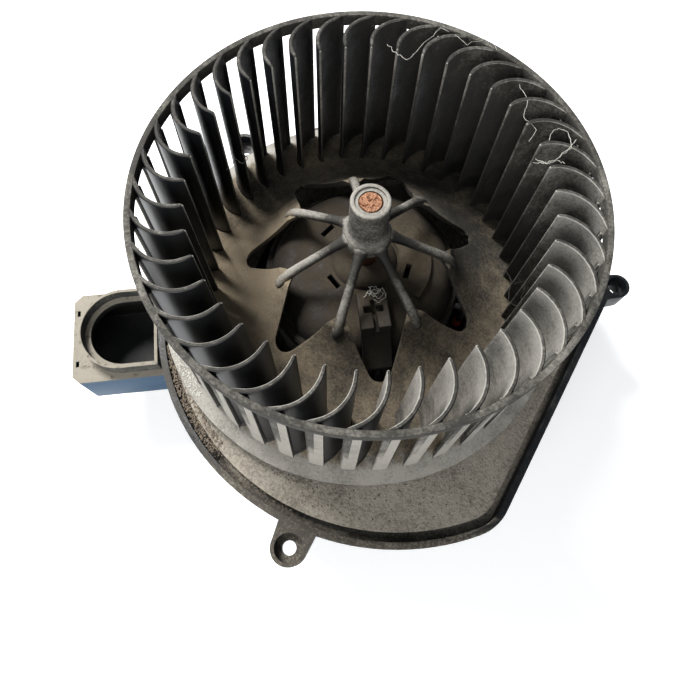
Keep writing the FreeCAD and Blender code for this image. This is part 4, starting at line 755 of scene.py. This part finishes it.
@dataclass
class FanWheel:
    """The one-piece fan wheel: rim, blades, dished disc, spokes and hub."""

    shop: Workshop
    top: float = 122.0
    petal_angle: float = 25.3
    petals: int = 7
    blades: int = 41
    blade_angle: float = 31.9
    rim_outer: float = 75.0
    rim_inner: float = 72.8
    blade_outer: float = 73.0
    blade_inner: float = 56.7
    blade_wall: float = 1.3
    blade_lean: float = 2.2
    lean_radius: float = 66.0
    lean_width: float = 7.0
    lean_top: float = 4.0
    lean_height: float = 56.0
    crest_height: float = 2.18
    wave_height: float = 0.4
    wave_from: float = 44.0
    wave_to: float = 60.0
    strip_start: float = 0.5
    strip_width: float = 4.6
    bend_start: float = 58.5
    bend_radius: float = 13.5
    bend_turn: float = 72.0
    bend_radius_in: float = 31.3
    spoke_fall: float = 27.4
    cone_height: float = -35.46
    bowl_height: float = -11.51
    bowl_radius: float = 48.3
    bowl_centre: float = 73.25
    foot_radius: float = 57.0
    foot_height: float = -57.0
    foot_fall: float = 5.3
    foot_width: float = 18.0
    foot_sunk: float = 0.7
    ring_height: float = -62.3
    window_centre: float = 40.8
    window_end: float = 4.6
    window_taper: float = 26.0
    wall: float = 1.8
    hub_zone: float = 9.0
    spoke_zone: float = 15.0
    ring_drop: float = 61.8
    disc_skin: float = 0.8
    brown_drop: float = 25.0
    dust: WheelDustAndPaintedLight = WheelDustAndPaintedLight()

    def dish(self, radius: float) -> float:
        """Height of the disc's upper face at a radius, below the rim's top.

        Args:
            radius: Distance from the axis.

        Returns:
            The height, a negative number.
        """
        if radius <= self.bend_radius_in:
            slope = math.tan(math.radians(self.spoke_fall))
            return self.cone_height + (self.bend_radius_in - radius) * slope
        if radius <= self.foot_radius:
            return self.bowl_height - math.sqrt(self.bowl_radius**2 - (radius - self.bowl_centre) ** 2)
        if radius <= self.rim_outer:
            return self.foot_height - (radius - self.foot_radius) * self.foot_fall / self.foot_width
        return self.ring_height - (radius - self.rim_outer) * 0.5

    def window_half(self, radius: float) -> float:
        """Half width of a window at a radius, nothing beyond its round end."""
        meet = self.window_centre + self.window_end * math.sin(math.radians(self.window_taper))
        if radius < meet:
            edge = self.window_end * math.cos(math.radians(self.window_taper))
            return edge + (meet - radius) * math.tan(math.radians(self.window_taper))
        inside = self.window_end**2 - (radius - self.window_centre) ** 2
        return math.sqrt(inside) if inside > 0 else 0.0

    def disc(self) -> Thing:
        """One petal with its share of the disc and of the lower ring.

        Returns:
            An open sector, whose copies close to the whole disc.
        """
        radii = [28.9, 29.6, 30.5, 31.3, 32.0, 33.0, 35.0, 37.0, 39.0, 41.0, 42.4, 43.4, 44.2, 44.8, 45.2,
                 45.4, 45.9, 46.5, 47.5, 49.5, 52.0, 54.5, 57.0, 60.0, 64.0, 68.0, 72.0, 75.0, 77.5, 79.9]
        upper = [(radius, self.dish(radius)) for radius in radii]
        lower = []
        for at, (radius, height) in enumerate(upper):
            before, after = upper[max(at - 1, 0)], upper[min(at + 1, len(upper) - 1)]
            along = Vector((after[0] - before[0], after[1] - before[1])).normalized()
            lower.append((radius + along.y * self.wall, height - along.x * self.wall))
        edge = [(80.3, -64.95), (80.4, -65.2), (80.4, -66.8), (80.2, -67.0), (79.0, -67.0), (78.8, -66.8)]
        profile = upper + edge + [(78.8, -66.2)] + lower[:-2][::-1]
        columns = 24
        half = math.pi / self.petals
        points: list[Point] = []
        for radius, height in profile:
            gap = self.window_half(radius) / radius if radius < 60 else 0.0
            spread = half - gap
            for column in range(columns + 1):
                turn = spread * (2 * column / columns - 1)
                points.append(turned(radius, turn, self.top + height))
        rows, width = len(profile), columns + 1
        faces = grid(rows, width, ring_rows=True)
        open_rows = sum(1 for radius, _ in lower if self.window_half(radius) > 0)
        for row in range(open_rows):
            across = rows - 1 - row
            for side in (0, columns):
                corners = (row * width + side, (row + 1) * width + side, (across - 1) * width + side,
                           across * width + side)
                faces.append(corners if side == 0 else corners[::-1])
        return mesh_object("disc_sector", points, faces)

    def wave(self, disc: Thing) -> None:
        """Sinks the disc softly between the blades' feet.

        Args:
            disc: The whole disc, which is changed.
        """
        for vertex in disc.data.vertices:
            radius = math.hypot(vertex.co.x, vertex.co.y) / MM
            share = unit((radius - self.wave_from) / 10.0) * unit((self.wave_to - radius) / 3.0)
            turn = math.atan2(vertex.co.y, vertex.co.x) - math.radians(self.blade_angle)
            vertex.co.z += self.wave_height * MM * share * math.cos(self.blades * turn)

    def blade_line(self, along: float) -> tuple[Vector, Vector]:
        """A point of the blade's middle line and its direction.

        Args:
            along: Distance from the blade's inner edge.

        Returns:
            The point and the unit direction, both flat.
        """
        straight = self.bend_start - self.blade_inner
        arc = self.bend_radius * math.radians(self.bend_turn)
        if along <= straight:
            return Vector((self.blade_inner + along, 0.0)), Vector((1.0, 0.0))
        turn = min((along - straight) / self.bend_radius, math.radians(self.bend_turn))
        ahead = Vector((math.cos(turn), -math.sin(turn)))
        point = Vector((self.bend_start + self.bend_radius * math.sin(turn),
                        -self.bend_radius * (1 - math.cos(turn))))
        return point + ahead * max(along - straight - arc, 0.0), ahead

    def blade_reach(self) -> float:
        """Length of the blade's middle line where its hollow side meets the outer radius."""
        low, high = 10.0, 40.0
        while high - low > 0.001:
            along = (low + high) / 2
            point, ahead = self.blade_line(along)
            hollow = point + Vector((ahead.y, -ahead.x)) * (self.blade_wall / 2)
            low, high = (along, high) if hollow.length < self.blade_outer else (low, along)
        return low

    def crest(self, radius: float) -> float:
        """Height of the blades' top edge at a radius, from the rim's top."""
        if radius > self.rim_inner:
            return -0.3
        return min((self.rim_inner - radius) * 0.15, radius - self.blade_inner + 1.5, self.crest_height)

    def blade(self) -> Thing:
        """One blade with a rounded inner edge and rounded top.

        Returns:
            The blade at angle zero.
        """
        half = self.blade_wall / 2
        stations = [0.0, 0.12, 0.4, 0.9, 1.8]
        reach = self.blade_reach()
        stations += [1.8 + (reach - 1.8) * step / 22 for step in range(1, 23)]
        taper = {0.0: 0.3, 0.12: 0.55, 0.4: 0.72, 0.9: 0.82, 1.8: 0.9}
        rings = []
        for along in stations:
            point, ahead = self.blade_line(along)
            left = Vector((-ahead.y, ahead.x))
            width = half * taper.get(along, 1.0)
            sides = []
            for sign in (1, -1):
                side = point + left * (width * sign)
                if side.length > self.blade_outer:
                    side = side.normalized() * self.blade_outer
                sides.append(side)
            middle = (sides[0] + sides[1]) / 2
            head = self.top + self.crest(middle.length)
            foot = self.top + self.dish(max(middle.length, self.blade_inner)) - self.foot_sunk
            near, far = sides
            soft_near, soft_far = near.lerp(far, 0.25), near.lerp(far, 0.75)
            flare_near, flare_far = near + (near - far) * 0.45, far + (far - near) * 0.45
            if near.length > self.blade_outer - 0.6:
                flare_near, flare_far = near, far
            rings.append([
                (*flare_near, foot), (*near, foot + 1.6), (*near, head - 0.35), (*soft_near, head - 0.05),
                (*soft_far, head - 0.05), (*far, head - 0.35), (*far, foot + 1.6), (*flare_far, foot),
            ])
        return loft("blade", [[self.lean(point) for point in ring] for ring in rings])

    def strip(self) -> Thing:
        """The upright strip that closes a blade's end under the rim, at angle zero."""
        point = self.blade_line(self.blade_reach())[0]
        first = math.atan2(point.y, point.x) + self.strip_start / self.blade_outer
        foot, head = self.top + self.dish(74.0) - self.foot_sunk, self.top - 3.9
        rings = []
        for step in range(5):
            turn = first + self.strip_width * step / 4 / self.blade_outer
            inner, outer = self.blade_outer - 1.0, self.blade_outer + 0.05
            corners = [(inner, foot), (outer, foot), (outer, foot + 1.9), (outer, head - 1.5),
                       (outer, head), (inner, head)]
            rings.append([self.lean(turned(radius, turn, height)) for radius, height in corners])
        return loft("strip", rings)

    def lean(self, point: Point) -> Point:
        """Moves a point of a blade outwards the deeper and the further out it lies.

        Args:
            point: The point as for an upright blade.

        Returns:
            The point on the leaning outer part.
        """
        radius = math.hypot(point[0], point[1])
        down = unit((self.top - self.lean_top - point[2]) / self.lean_height)
        share = unit((radius - self.lean_radius) / self.lean_width) * down
        grow = 1.0 + self.blade_lean * share / radius
        return (point[0] * grow, point[1] * grow, point[2])

    def spoke(self) -> Thing:
        """One rod spoke, flared at the hub and rounded at its outer end.

        Returns:
            The spoke at angle zero.
        """
        stations = [(4.5, 3.6, 2.3, 0.0), (7.0, 3.2, 2.3, 0.0), (8.6, 2.4, 2.15, 0.0),
                    (10.2, 1.85, 1.9, 0.0), (13.0, 1.6, 1.7, 0.0), (19.0, 1.6, 1.65, 0.0),
                    (25.0, 1.65, 1.65, 0.0), (28.5, 1.8, 1.6, 0.4), (30.5, 2.0, 1.5, 1.0),
                    (32.0, 2.1, 1.35, 1.8), (33.2, 1.9, 1.1, 2.7), (34.0, 1.3, 0.8, 3.5),
                    (34.3, 0.5, 0.4, 4.0)]
        fall = math.radians(self.spoke_fall)
        rings = []
        for radius, wide, tall, sunk in stations:
            middle = Vector((radius, 0.0, self.top - 20.5 - (radius - 3.3) * math.tan(fall) - sunk))
            up = Vector((math.sin(fall), 0.0, math.cos(fall)))
            ring = []
            for step in range(14):
                turn = 2 * math.pi * step / 14
                point = middle + Vector((0.0, wide * math.cos(turn), 0.0)) + up * (tall * math.sin(turn))
                ring.append(tuple(point))
            rings.append(ring)
        return loft("spoke", rings)

    def hub(self) -> Thing:
        """The hub with its bevelled top, shallow step and flared collar."""
        profile = [(4.02, -25.6), (7.6, -25.6), (8.4, -24.9), (8.6, -23.4), (8.55, -21.8), (8.2, -20.5),
                   (7.6, -19.4), (7.05, -18.5), (6.75, -17.4), (6.65, -16.0), (6.65, -3.9), (6.5, -3.4),
                   (6.15, -3.12), (5.5, -3.1), (5.25, -3.25), (5.2, -3.8), (4.02, -3.8)]
        return lathe("hub", [(radius, self.top + height) for radius, height in profile], 64)

    def rim(self) -> Thing:
        """The rim with its bevelled edges."""
        profile = [(72.9, -4.2), (74.7, -4.2), (75.0, -3.9), (75.0, -0.5), (74.85, -0.15), (74.5, 0.0),
                   (73.3, 0.0), (72.95, -0.1), (72.8, -0.35), (72.8, -4.1)]
        return lathe("rim", [(radius, self.top + height) for radius, height in profile], 240)

    def build(self) -> None:
        """Makes the wheel and puts it on the rotor."""
        finish = paint(WHEEL_PLASTIC)
        disc = self.shop.repeat(self.disc(), self.petals, self.petal_angle, finish, 0.02)
        self.wave(disc)
        soften(disc, 0.35, 42.0)
        parts = [
            smooth(disc, 35.0),
            smooth(self.shop.repeat(self.blade(), self.blades, self.blade_angle, finish), 16.0),
            smooth(self.shop.repeat(self.strip(), self.blades, self.blade_angle, finish), 30.0),
            smooth(self.shop.repeat(self.spoke(), self.petals, self.petal_angle, finish), 60.0),
            smooth(self.hub(), 40.0),
            smooth(self.rim(), 40.0),
        ]
        wheel = self.shop.join("wheel_moulding", parts, finish)
        places = [(vertex.co / MM, vertex.normal) for vertex in wheel.data.vertices]
        mark(wheel, "POINT", [(self.dust_and_painted_light_at(*place), self.depth_at(place[0])) for place in places])
        self.shop.settle(wheel, Body.ROTOR, "fan_plastic", "fan_wheel")

    def dust_and_painted_light_at(self, place: Vector, facing: Vector) -> float:
        """How much paler than usual a point of the wheel is, by dust and by painted light.

        The hollow sides of the blades catch it, their outer sides are blown
        clean, and the crest, rim and hub carry a pale film. The hollow sides
        also grow paler towards the right front, as painted light where the
        window light falls.

        Args:
            place: The point in millimetres.
            facing: The surface's direction there.

        Returns:
            The amount, negative where the plastic is cleaner.
        """
        amount = self.dust
        radius, drop = math.hypot(place.x, place.y), self.top - place.z
        outward = Vector((place.x, place.y, 0.0)) / radius
        clockwise = Vector((outward.y, -outward.x, 0.0))
        # How far the surface looks to the side that a blade's hollow faces
        hollow = facing.dot(clockwise) * 0.8 - facing.dot(outward) * 0.6
        above_disc = place.z - self.top - self.dish(radius)
        if radius < self.spoke_zone:
            return amount.hub if radius < self.hub_zone else amount.spokes
        if drop > self.ring_drop and radius > self.blade_outer + 1.0:
            return amount.ring
        if radius < self.blade_inner - 0.4 or above_disc < self.disc_skin:
            return amount.disc
        if drop < self.lean_top + 0.3 and radius > self.rim_inner - 0.1:
            return amount.rim_side if facing.z < 0.5 else amount.rim_top
        leaned = self.blade_lean * unit((drop - self.lean_top) / self.lean_height)
        if radius > self.blade_outer - 0.1 + leaned:
            return amount.strips
        if facing.z > 0.6:
            return amount.crests
        if radius < self.blade_inner + 0.3:
            return amount.blade_edges - drop * amount.edge_fall
        # Painted light: hollow sides paler towards the right front, where the window light falls on them
        painted_light_share = 0.5 + 0.5 * math.cos(math.atan2(place.y, place.x) + math.radians(amount.painted_light_angle))
        dust_and_painted_light = amount.hollows + amount.painted_light * painted_light_share
        return (unit(hollow * 2.0) * dust_and_painted_light * (1.0 - drop * amount.hollow_fall)
                - amount.blown * unit(-hollow * 2.0))

    def depth_at(self, place: Vector) -> float:
        """How far a point of the wheel belongs to its brown inside, zero to one.

        Args:
            place: The point in millimetres.

        Returns:
            One on the disc, more on the blades the deeper it is, little elsewhere.
        """
        radius, drop = math.hypot(place.x, place.y), self.top - place.z
        if radius < self.spoke_zone or drop > self.ring_drop or radius > self.blade_outer - 1.0:
            return 0.1
        if place.z - self.top - self.dish(radius) < self.disc_skin:
            return 1.0
        return 0.5 * unit((drop - self.brown_drop) / self.brown_drop)


# Loose dirt: fibres on the wheel, crumbs and fluff


@dataclass(frozen=True)
class Strand:
    """A thin level fibre through some points, in millimetres."""

    height: float
    thickness: float
    seed: int
    points: tuple[tuple[float, float], ...]
    stray: float = 0.3
    steps: int = 5

    def build(self) -> Thing:
        """Lofts the fibre with small random bends.

        Returns:
            The fibre.
        """
        chance = random.Random(self.seed)
        corners = [Vector((*point, self.height)) for point in self.points]
        path = []
        for first, second in zip(corners, corners[1:]):
            for step in range(self.steps):
                bend = [chance.uniform(-self.stray, self.stray) for _ in range(3)]
                path.append(first.lerp(second, step / self.steps) + Vector(bend))
        rings = []
        for at, middle in enumerate(path):
            ahead = (path[min(at + 1, len(path) - 1)] - path[max(at - 1, 0)]).normalized()
            side = ahead.cross(Vector((0.0, 0.0, 1.0))).normalized() * self.thickness
            up = side.cross(ahead).normalized() * self.thickness
            rings.append([tuple(middle + away) for away in (side, up, -side, -up)])
        return loft("strand", rings)


COBWEB = (
    Strand(123.0, 0.13, 1, ((38, 36), (41, 38.5), (43.5, 41), (45, 46), (46.5, 53))),
    Strand(123.0, 0.1, 2, ((39, 45), (38, 50), (39.5, 53), (43, 52.5), (46, 48), (43.5, 41))),
    Strand(123.0, 0.13, 3, ((38, 38), (42, 38), (44, 41), (47, 41.5))),
    Strand(123.0, 0.1, 4, ((-24.5, 54), (-20.5, 52), (-15.5, 51.5), (-14.5, 59), (-12.5, 70), (-8.5, 70.5))),
    Strand(122.5, 0.08, 5, ((-7, 70), (-1.5, 69), (2.5, 75), (9.5, 72))),
    Strand(123.0, 0.08, 6, ((21, 62), (26, 58), (28, 50.5), (33.5, 48.5), (33.5, 41.5))),
)
DARK_LINT = (
    Strand(112.0, 0.12, 7, ((-48, -10.5), (-48, -5.5), (-45, -5.5), (-45, -3), (-49, -1.5))),
    Strand(100.0, 0.14, 8, ((44, 13.5), (50.5, 9.5), (52.5, 2), (57.5, 1), (58, 7), (64.5, 1.5),
           (62.5, -4))),
    Strand(100.0, 0.14, 9, ((56, -8), (57, -2), (60.5, -2.5), (60.5, 7), (64, 6.5), (57, 10))),
    Strand(98.0, 0.12, 10, ((52, 9.5), (54.5, 13), (56.5, 5.5), (56.5, -2), (63.5, -1), (62, 9))),
)
GUIDE_LINT = (
    Strand(84.5, 0.13, 21, ((8.5, -15.5), (8.5, -12), (11.5, -12), (12, -8.5), (15, -10.5), (14, -14),
           (11, -14.5))),
    Strand(85.0, 0.1, 22, ((8, -13), (11, -13.5), (12.5, -10.5), (10, -9.5), (8, -11), (10.5, -13.5))),
    Strand(84.5, 0.1, 23, ((9.5, -14), (10, -10.5), (13.5, -10), (13.5, -13), (10, -12.5))),
)


@dataclass(frozen=True)
class Band:
    """A strip of surface with crumbs strewn on it, in millimetres and degrees."""

    middle: tuple[float, float]
    radii: tuple[float, float]
    heights: tuple[float, float]
    angles: tuple[float, float]
    density: float
    sizes: tuple[float, float]
    seed: int
    steps: int = 32

    def surface(self) -> Thing:
        """The strip, whose edges are arcs.

        Returns:
            The strip without its crumbs.
        """
        points: list[Point] = []
        for step in range(self.steps + 1):
            turn = math.radians(self.angles[0] + (self.angles[1] - self.angles[0]) * step / self.steps)
            for radius, height in zip(self.radii, self.heights):
                x, y, z = turned(radius, turn, height)
                points.append((self.middle[0] + x, self.middle[1] + y, z))
        return mesh_object("band", points, grid(self.steps + 1, 2))

    def strew(self, shop: Workshop, finish: Material) -> Thing:
        """Makes the crumbs that lie on the strip.

        Args:
            shop: Has the scatter pattern.
            finish: Material of the crumbs.

        Returns:
            The crumbs as a plain mesh.
        """
        return shop.scatter.apply(self.surface(), {
            "Density": self.density / MM**2, "Smallest": self.sizes[0] * MM, "Largest": self.sizes[1] * MM,
            "Seed": self.seed, "Finish": finish})


PLATE_CENTRE = (14.5, 1.0)
# In the groove at the left, on the edge in front, and thinly on the front of the plate
PLATE_CRUMBS = (
    Band(PLATE_CENTRE, (87.6, 93.2), (50.9, 50.2), (-172.0, -108.0), 3.2, (0.2, 0.85), 3),
    Band(PLATE_CENTRE, (80.0, 93.2), (51.0, 50.0), (-118.0, -84.0), 0.7, (0.15, 0.6), 4),
    Band(PLATE_CENTRE, (70.0, 87.6), (51.0, 51.0), (-95.0, -30.0), 0.12, (0.15, 0.5), 5),
)
# On the wheel's lower ring, thick at the left and thin in front
RING_FLUFF = (
    Band((0.0, 0.0), (75.6, 79.6), (59.5, 57.4), (-158.0, -112.0), 3.0, (0.12, 0.5), 6),
    Band((0.0, 0.0), (75.6, 79.6), (59.5, 57.4), (-112.0, -70.0), 0.25, (0.1, 0.3), 7),
)


@dataclass
class LooseDirt:
    """Cobweb and lint on wheel and motor, soil crumbs and fluff on plate and ring."""

    shop: Workshop

    def build(self) -> None:
        """Makes one piece of dirt for each body and kind."""
        for name, strands, kind, body, slot in (
            ("cobweb", COBWEB, FIBRE, Body.ROTOR, "fan_plastic"),
            ("wheel_lint", DARK_LINT, DARK_FIBRE, Body.ROTOR, "fan_plastic"),
            ("guide_lint", GUIDE_LINT, FIBRE, Body.HOUSING, "guide_plastic"),
        ):
            tangle = self.shop.join(name, [strand.build() for strand in strands], paint(kind))
            self.shop.settle(tangle, body, slot)
        for name, bands, kind, body, slot in (
            ("plate_crumbs", PLATE_CRUMBS, LOOSE_SOIL, Body.HOUSING, "plate_plastic"),
            ("ring_fluff", RING_FLUFF, FLUFF, Body.ROTOR, "fan_plastic"),
        ):
            finish = paint(kind)
            heap = self.shop.join(name, [band.strew(self.shop, finish) for band in bands], finish)
            self.shop.settle(smooth(heap, 60.0), body, slot)


# The housing


@dataclass
class Housing:
    """Mounting plate and duct, with where their dust is wiped off, and painted shade in the duct's hollow.
    """

    shop: Workshop
    plate_radius: float = 96.2
    plate_flat: float = 92.0
    lip_width: float = 2.8
    lip_low: float = 43.0
    front_lug: tuple[float, float] = (28.3, -101.4)
    lug_reach: float = 11.0
    wiped_lug: float = -0.35
    wiped_right: float = -0.75
    wiped_lip: float = -0.55
    wiped_front: float = -0.3
    front_from: float = -95.0
    duct_angle: float = 217.0
    duct_reach: float = 120.2
    duct_low: float = -13.4
    duct_high: float = 25.6
    lid_top: float = 44.5
    wall_dust: float = -0.3
    collar_dust: float = 0.25
    # Painted shade: the duct's hollow below the collar is kept bare and dark
    hollow_painted_shade: float = -0.7

    def build(self) -> None:
        """Refines the mouldings of the housing."""
        for node_name, name, width, finish, slot in (
            ("mounting_plate", "plate_moulding", 0.5, PLATE_PLASTIC, "plate_plastic"),
            ("duct_box", "duct_tray", 0.45, DUCT_PLASTIC, "duct_plastic"),
            ("duct_cover", "duct_lid", 0.35, DUCT_PLASTIC, "duct_plastic"),
        ):
            piece = self.shop.refine(node_name, name, width, paint(finish))
            rule = self.plate_dust if node_name == "mounting_plate" else self.duct_dust_and_painted_shade
            mesh = piece.data
            mark(piece, "CORNER", [rule(mesh.vertices[corner].co / MM, face.normal)
                                   for face in mesh.polygons for corner in face.vertices])
            self.shop.settle(piece, Body.HOUSING, slot, node_name)

    def plate_dust(self, centre: Vector, facing: Vector) -> tuple[float, float]:
        """Dust on the plate: the lip is wiped clean, most of all at the right.

        Args:
            centre: The place in millimetres.
            facing: The face's direction, which makes no difference here.

        Returns:
            The extra dust, and nothing for the inside.
        """
        radius = math.dist(centre.xy, PLATE_CENTRE)
        bearing = math.degrees(math.atan2(centre.y, centre.x))
        if math.dist(centre.xy, self.front_lug) < self.lug_reach and centre.z > self.lip_low - 3.0:
            return (self.wiped_lug, 0.0)
        if centre.x > self.plate_flat - 3.0:
            return (self.wiped_right, 0.0)
        if radius > self.plate_radius - self.lip_width and centre.z > self.lip_low:
            in_front = self.front_from <= bearing <= 0.0
            return (self.wiped_front if in_front else self.wiped_lip, 0.0)
        return (0.0, 0.0)

    def duct_dust_and_painted_shade(self, centre: Vector, facing: Vector) -> tuple[float, float]:
        """Dust on the duct: clean outer walls in their painted blue reflection, grey collar, and painted
        shade in the hollow.

        Args:
            centre: The place in millimetres.
            facing: The face's direction.

        Returns:
            The extra dust, negative in the hollow as painted shade, and one where the face isn't an outer
            wall.
        """
        turn = math.radians(-self.duct_angle)
        along = centre.x * math.cos(turn) - centre.y * math.sin(turn)
        across = centre.x * math.sin(turn) + centre.y * math.cos(turn)
        ends = min(self.duct_reach - along, across - self.duct_low, self.duct_high - across)
        if ends < 1.0 and abs(facing.z) < 0.5:
            return (self.wall_dust, 0.0)
        # Below the collar the hollow is bare and dark: painted shade
        return (self.collar_dust if centre.z > self.lid_top - 1.0 else self.hollow_painted_shade, 1.0)


@dataclass
class Motor:
    """The motor's visible cap and the lead guide on it."""

    shop: Workshop

    def build(self) -> None:
        """Refines cap and guide."""
        for node_name, name, width, slot in (
            ("upper_end_bell", "motor_cap", 0.5, "bell_steel"),
            ("lead_guide", "lead_block", 0.35, "guide_plastic"),
        ):
            piece = self.shop.refine(node_name, name, width, paint(CAP_PLASTIC))
            self.shop.settle(piece, Body.HOUSING, slot, node_name)


@dataclass
class Studio:
    """Floor, soft light and the camera at the photograph's angle."""

    lens_px: float = 584.655
    frame_px: float = 700.0
    sensor: float = 36.0
    eye: Point = (42.08, -95.41, 275.41)
    turn: float = 23.8
    right: Point = (0.9930863, 0.1126127, 0.0331361)
    down: Point = (0.1172428, -0.9375640, -0.3274566)
    ahead: Point = (-0.0058085, 0.3290776, -0.9442850)
    lit_point: Point = (0.0, 0.0, 60.0)
    paper_glow: float = 0.42
    paper_colour: tuple[float, float, float, float] = (0.85, 0.85, 0.85, 1.0)
    sky_colour: tuple[float, float, float, float] = (0.82, 0.91, 1.0, 1.0)
    sky_strength: float = 0.24

    def camera(self) -> None:
        """Sets the camera that the photograph was fitted with."""
        data = bpy.data.cameras.new("photo_camera")
        data.sensor_width = self.sensor
        data.lens = self.lens_px / self.frame_px * self.sensor
        data.clip_start, data.clip_end = 0.01, 20.0
        up, back = (tuple(-value for value in axis) for axis in (self.down, self.ahead))
        axes = Matrix((self.right, up, back))
        about = Matrix.Rotation(math.radians(self.turn), 3, "Z")
        pose = (about @ axes.transposed()).to_4x4()
        pose.translation = Vector(self.eye) * MM
        made = link("photo_camera", data)
        made.matrix_world = pose
        bpy.context.scene.camera = made

    def floor(self) -> None:
        """A plain pale sheet under the object, white to the camera."""
        half, low = 1500.0, -0.3
        corners = [(-half, -half, low), (half, -half, low), (half, half, low), (-half, half, low)]
        sheet = mesh_object("floor_sheet", corners, [(0, 1, 2, 3)])
        paper = Shading("pale_paper")
        matt = paper.add("ShaderNodeBsdfPrincipled", {"Base Color": self.paper_colour, "Roughness": 0.9})
        seen = paper.add("ShaderNodeLightPath", result="Is Camera Ray")
        lift = paper.math("MULTIPLY", seen, self.paper_glow)
        glow = paper.add("ShaderNodeEmission", {"Color": WHITE, "Strength": lift})
        paper.end("ShaderNodeOutputMaterial", paper.add("ShaderNodeAddShader", {0: matt, 1: glow}))
        sheet.data.materials.append(paper.material)

    def lamp(self, name: str, place: Point, size: float, power: float) -> None:
        """A square soft light that looks at the wheel.

        Args:
            name: The light's name.
            place: Where it hangs, in millimetres.
            size: Its side, in millimetres.
            power: Its power in watts.
        """
        data = bpy.data.lights.new(name, "AREA")
        data.shape = "SQUARE"
        data.size = size * MM
        data.energy = power
        made = link(name, data)
        away = Vector(place) - Vector(self.lit_point)
        made.rotation_mode = "QUATERNION"
        made.rotation_quaternion = away.to_track_quat("Z", "Y")
        made.location = Vector(place) * MM

    def lights(self) -> None:
        """A pale world, a large window at the left and a weak fill."""
        world = bpy.data.worlds.new("pale_room")
        world.use_nodes = True
        air = Graph()
        air.tree = world.node_tree
        air.tree.nodes.clear()
        sky = air.add("ShaderNodeBackground", {0: self.sky_colour, 1: self.sky_strength})
        white = air.add("ShaderNodeBackground", {0: WHITE, 1: 1.0})
        seen = air.add("ShaderNodeLightPath", result="Is Camera Ray")
        air.end("ShaderNodeOutputWorld", air.add("ShaderNodeMixShader", {0: seen, 1: sky, 2: white}))
        bpy.context.scene.world = world
        self.lamp("window_light", (-645.0, 173.0, 800.0), 330.0, 24.0)
        self.lamp("room_fill", (150.0, -900.0, 500.0), 800.0, 11.0)

    def build(self) -> None:
        """Makes the whole studio."""
        bpy.context.scene.view_settings.view_transform = "Standard"
        self.camera()
        self.floor()
        self.lights()


def dress_frame() -> None:
    """Gives every CAD node its slot's finish."""
    for row in frame["record"]["subparts"]:
        piece = frame["nodes"][row["node"]]
        finish = paint(SLOT_FINISHES[row["material_slot"]])
        for slot in piece.material_slots:
            slot.material = finish
        if not piece.material_slots:
            piece.data.materials.append(finish)


def main() -> None:
    """Builds every piece in order."""
    logging.basicConfig(level=logging.INFO, format="%(name)s %(message)s")
    shop = Workshop(round_pattern(), scatter_pattern())
    dress_frame()
    for item in (Studio(), FanWheel(shop), Housing(shop), Motor(shop), LooseDirt(shop)):
        item.build()
        LOG.info("%s done", type(item).__name__)


if __name__ == "__main__":
    main()
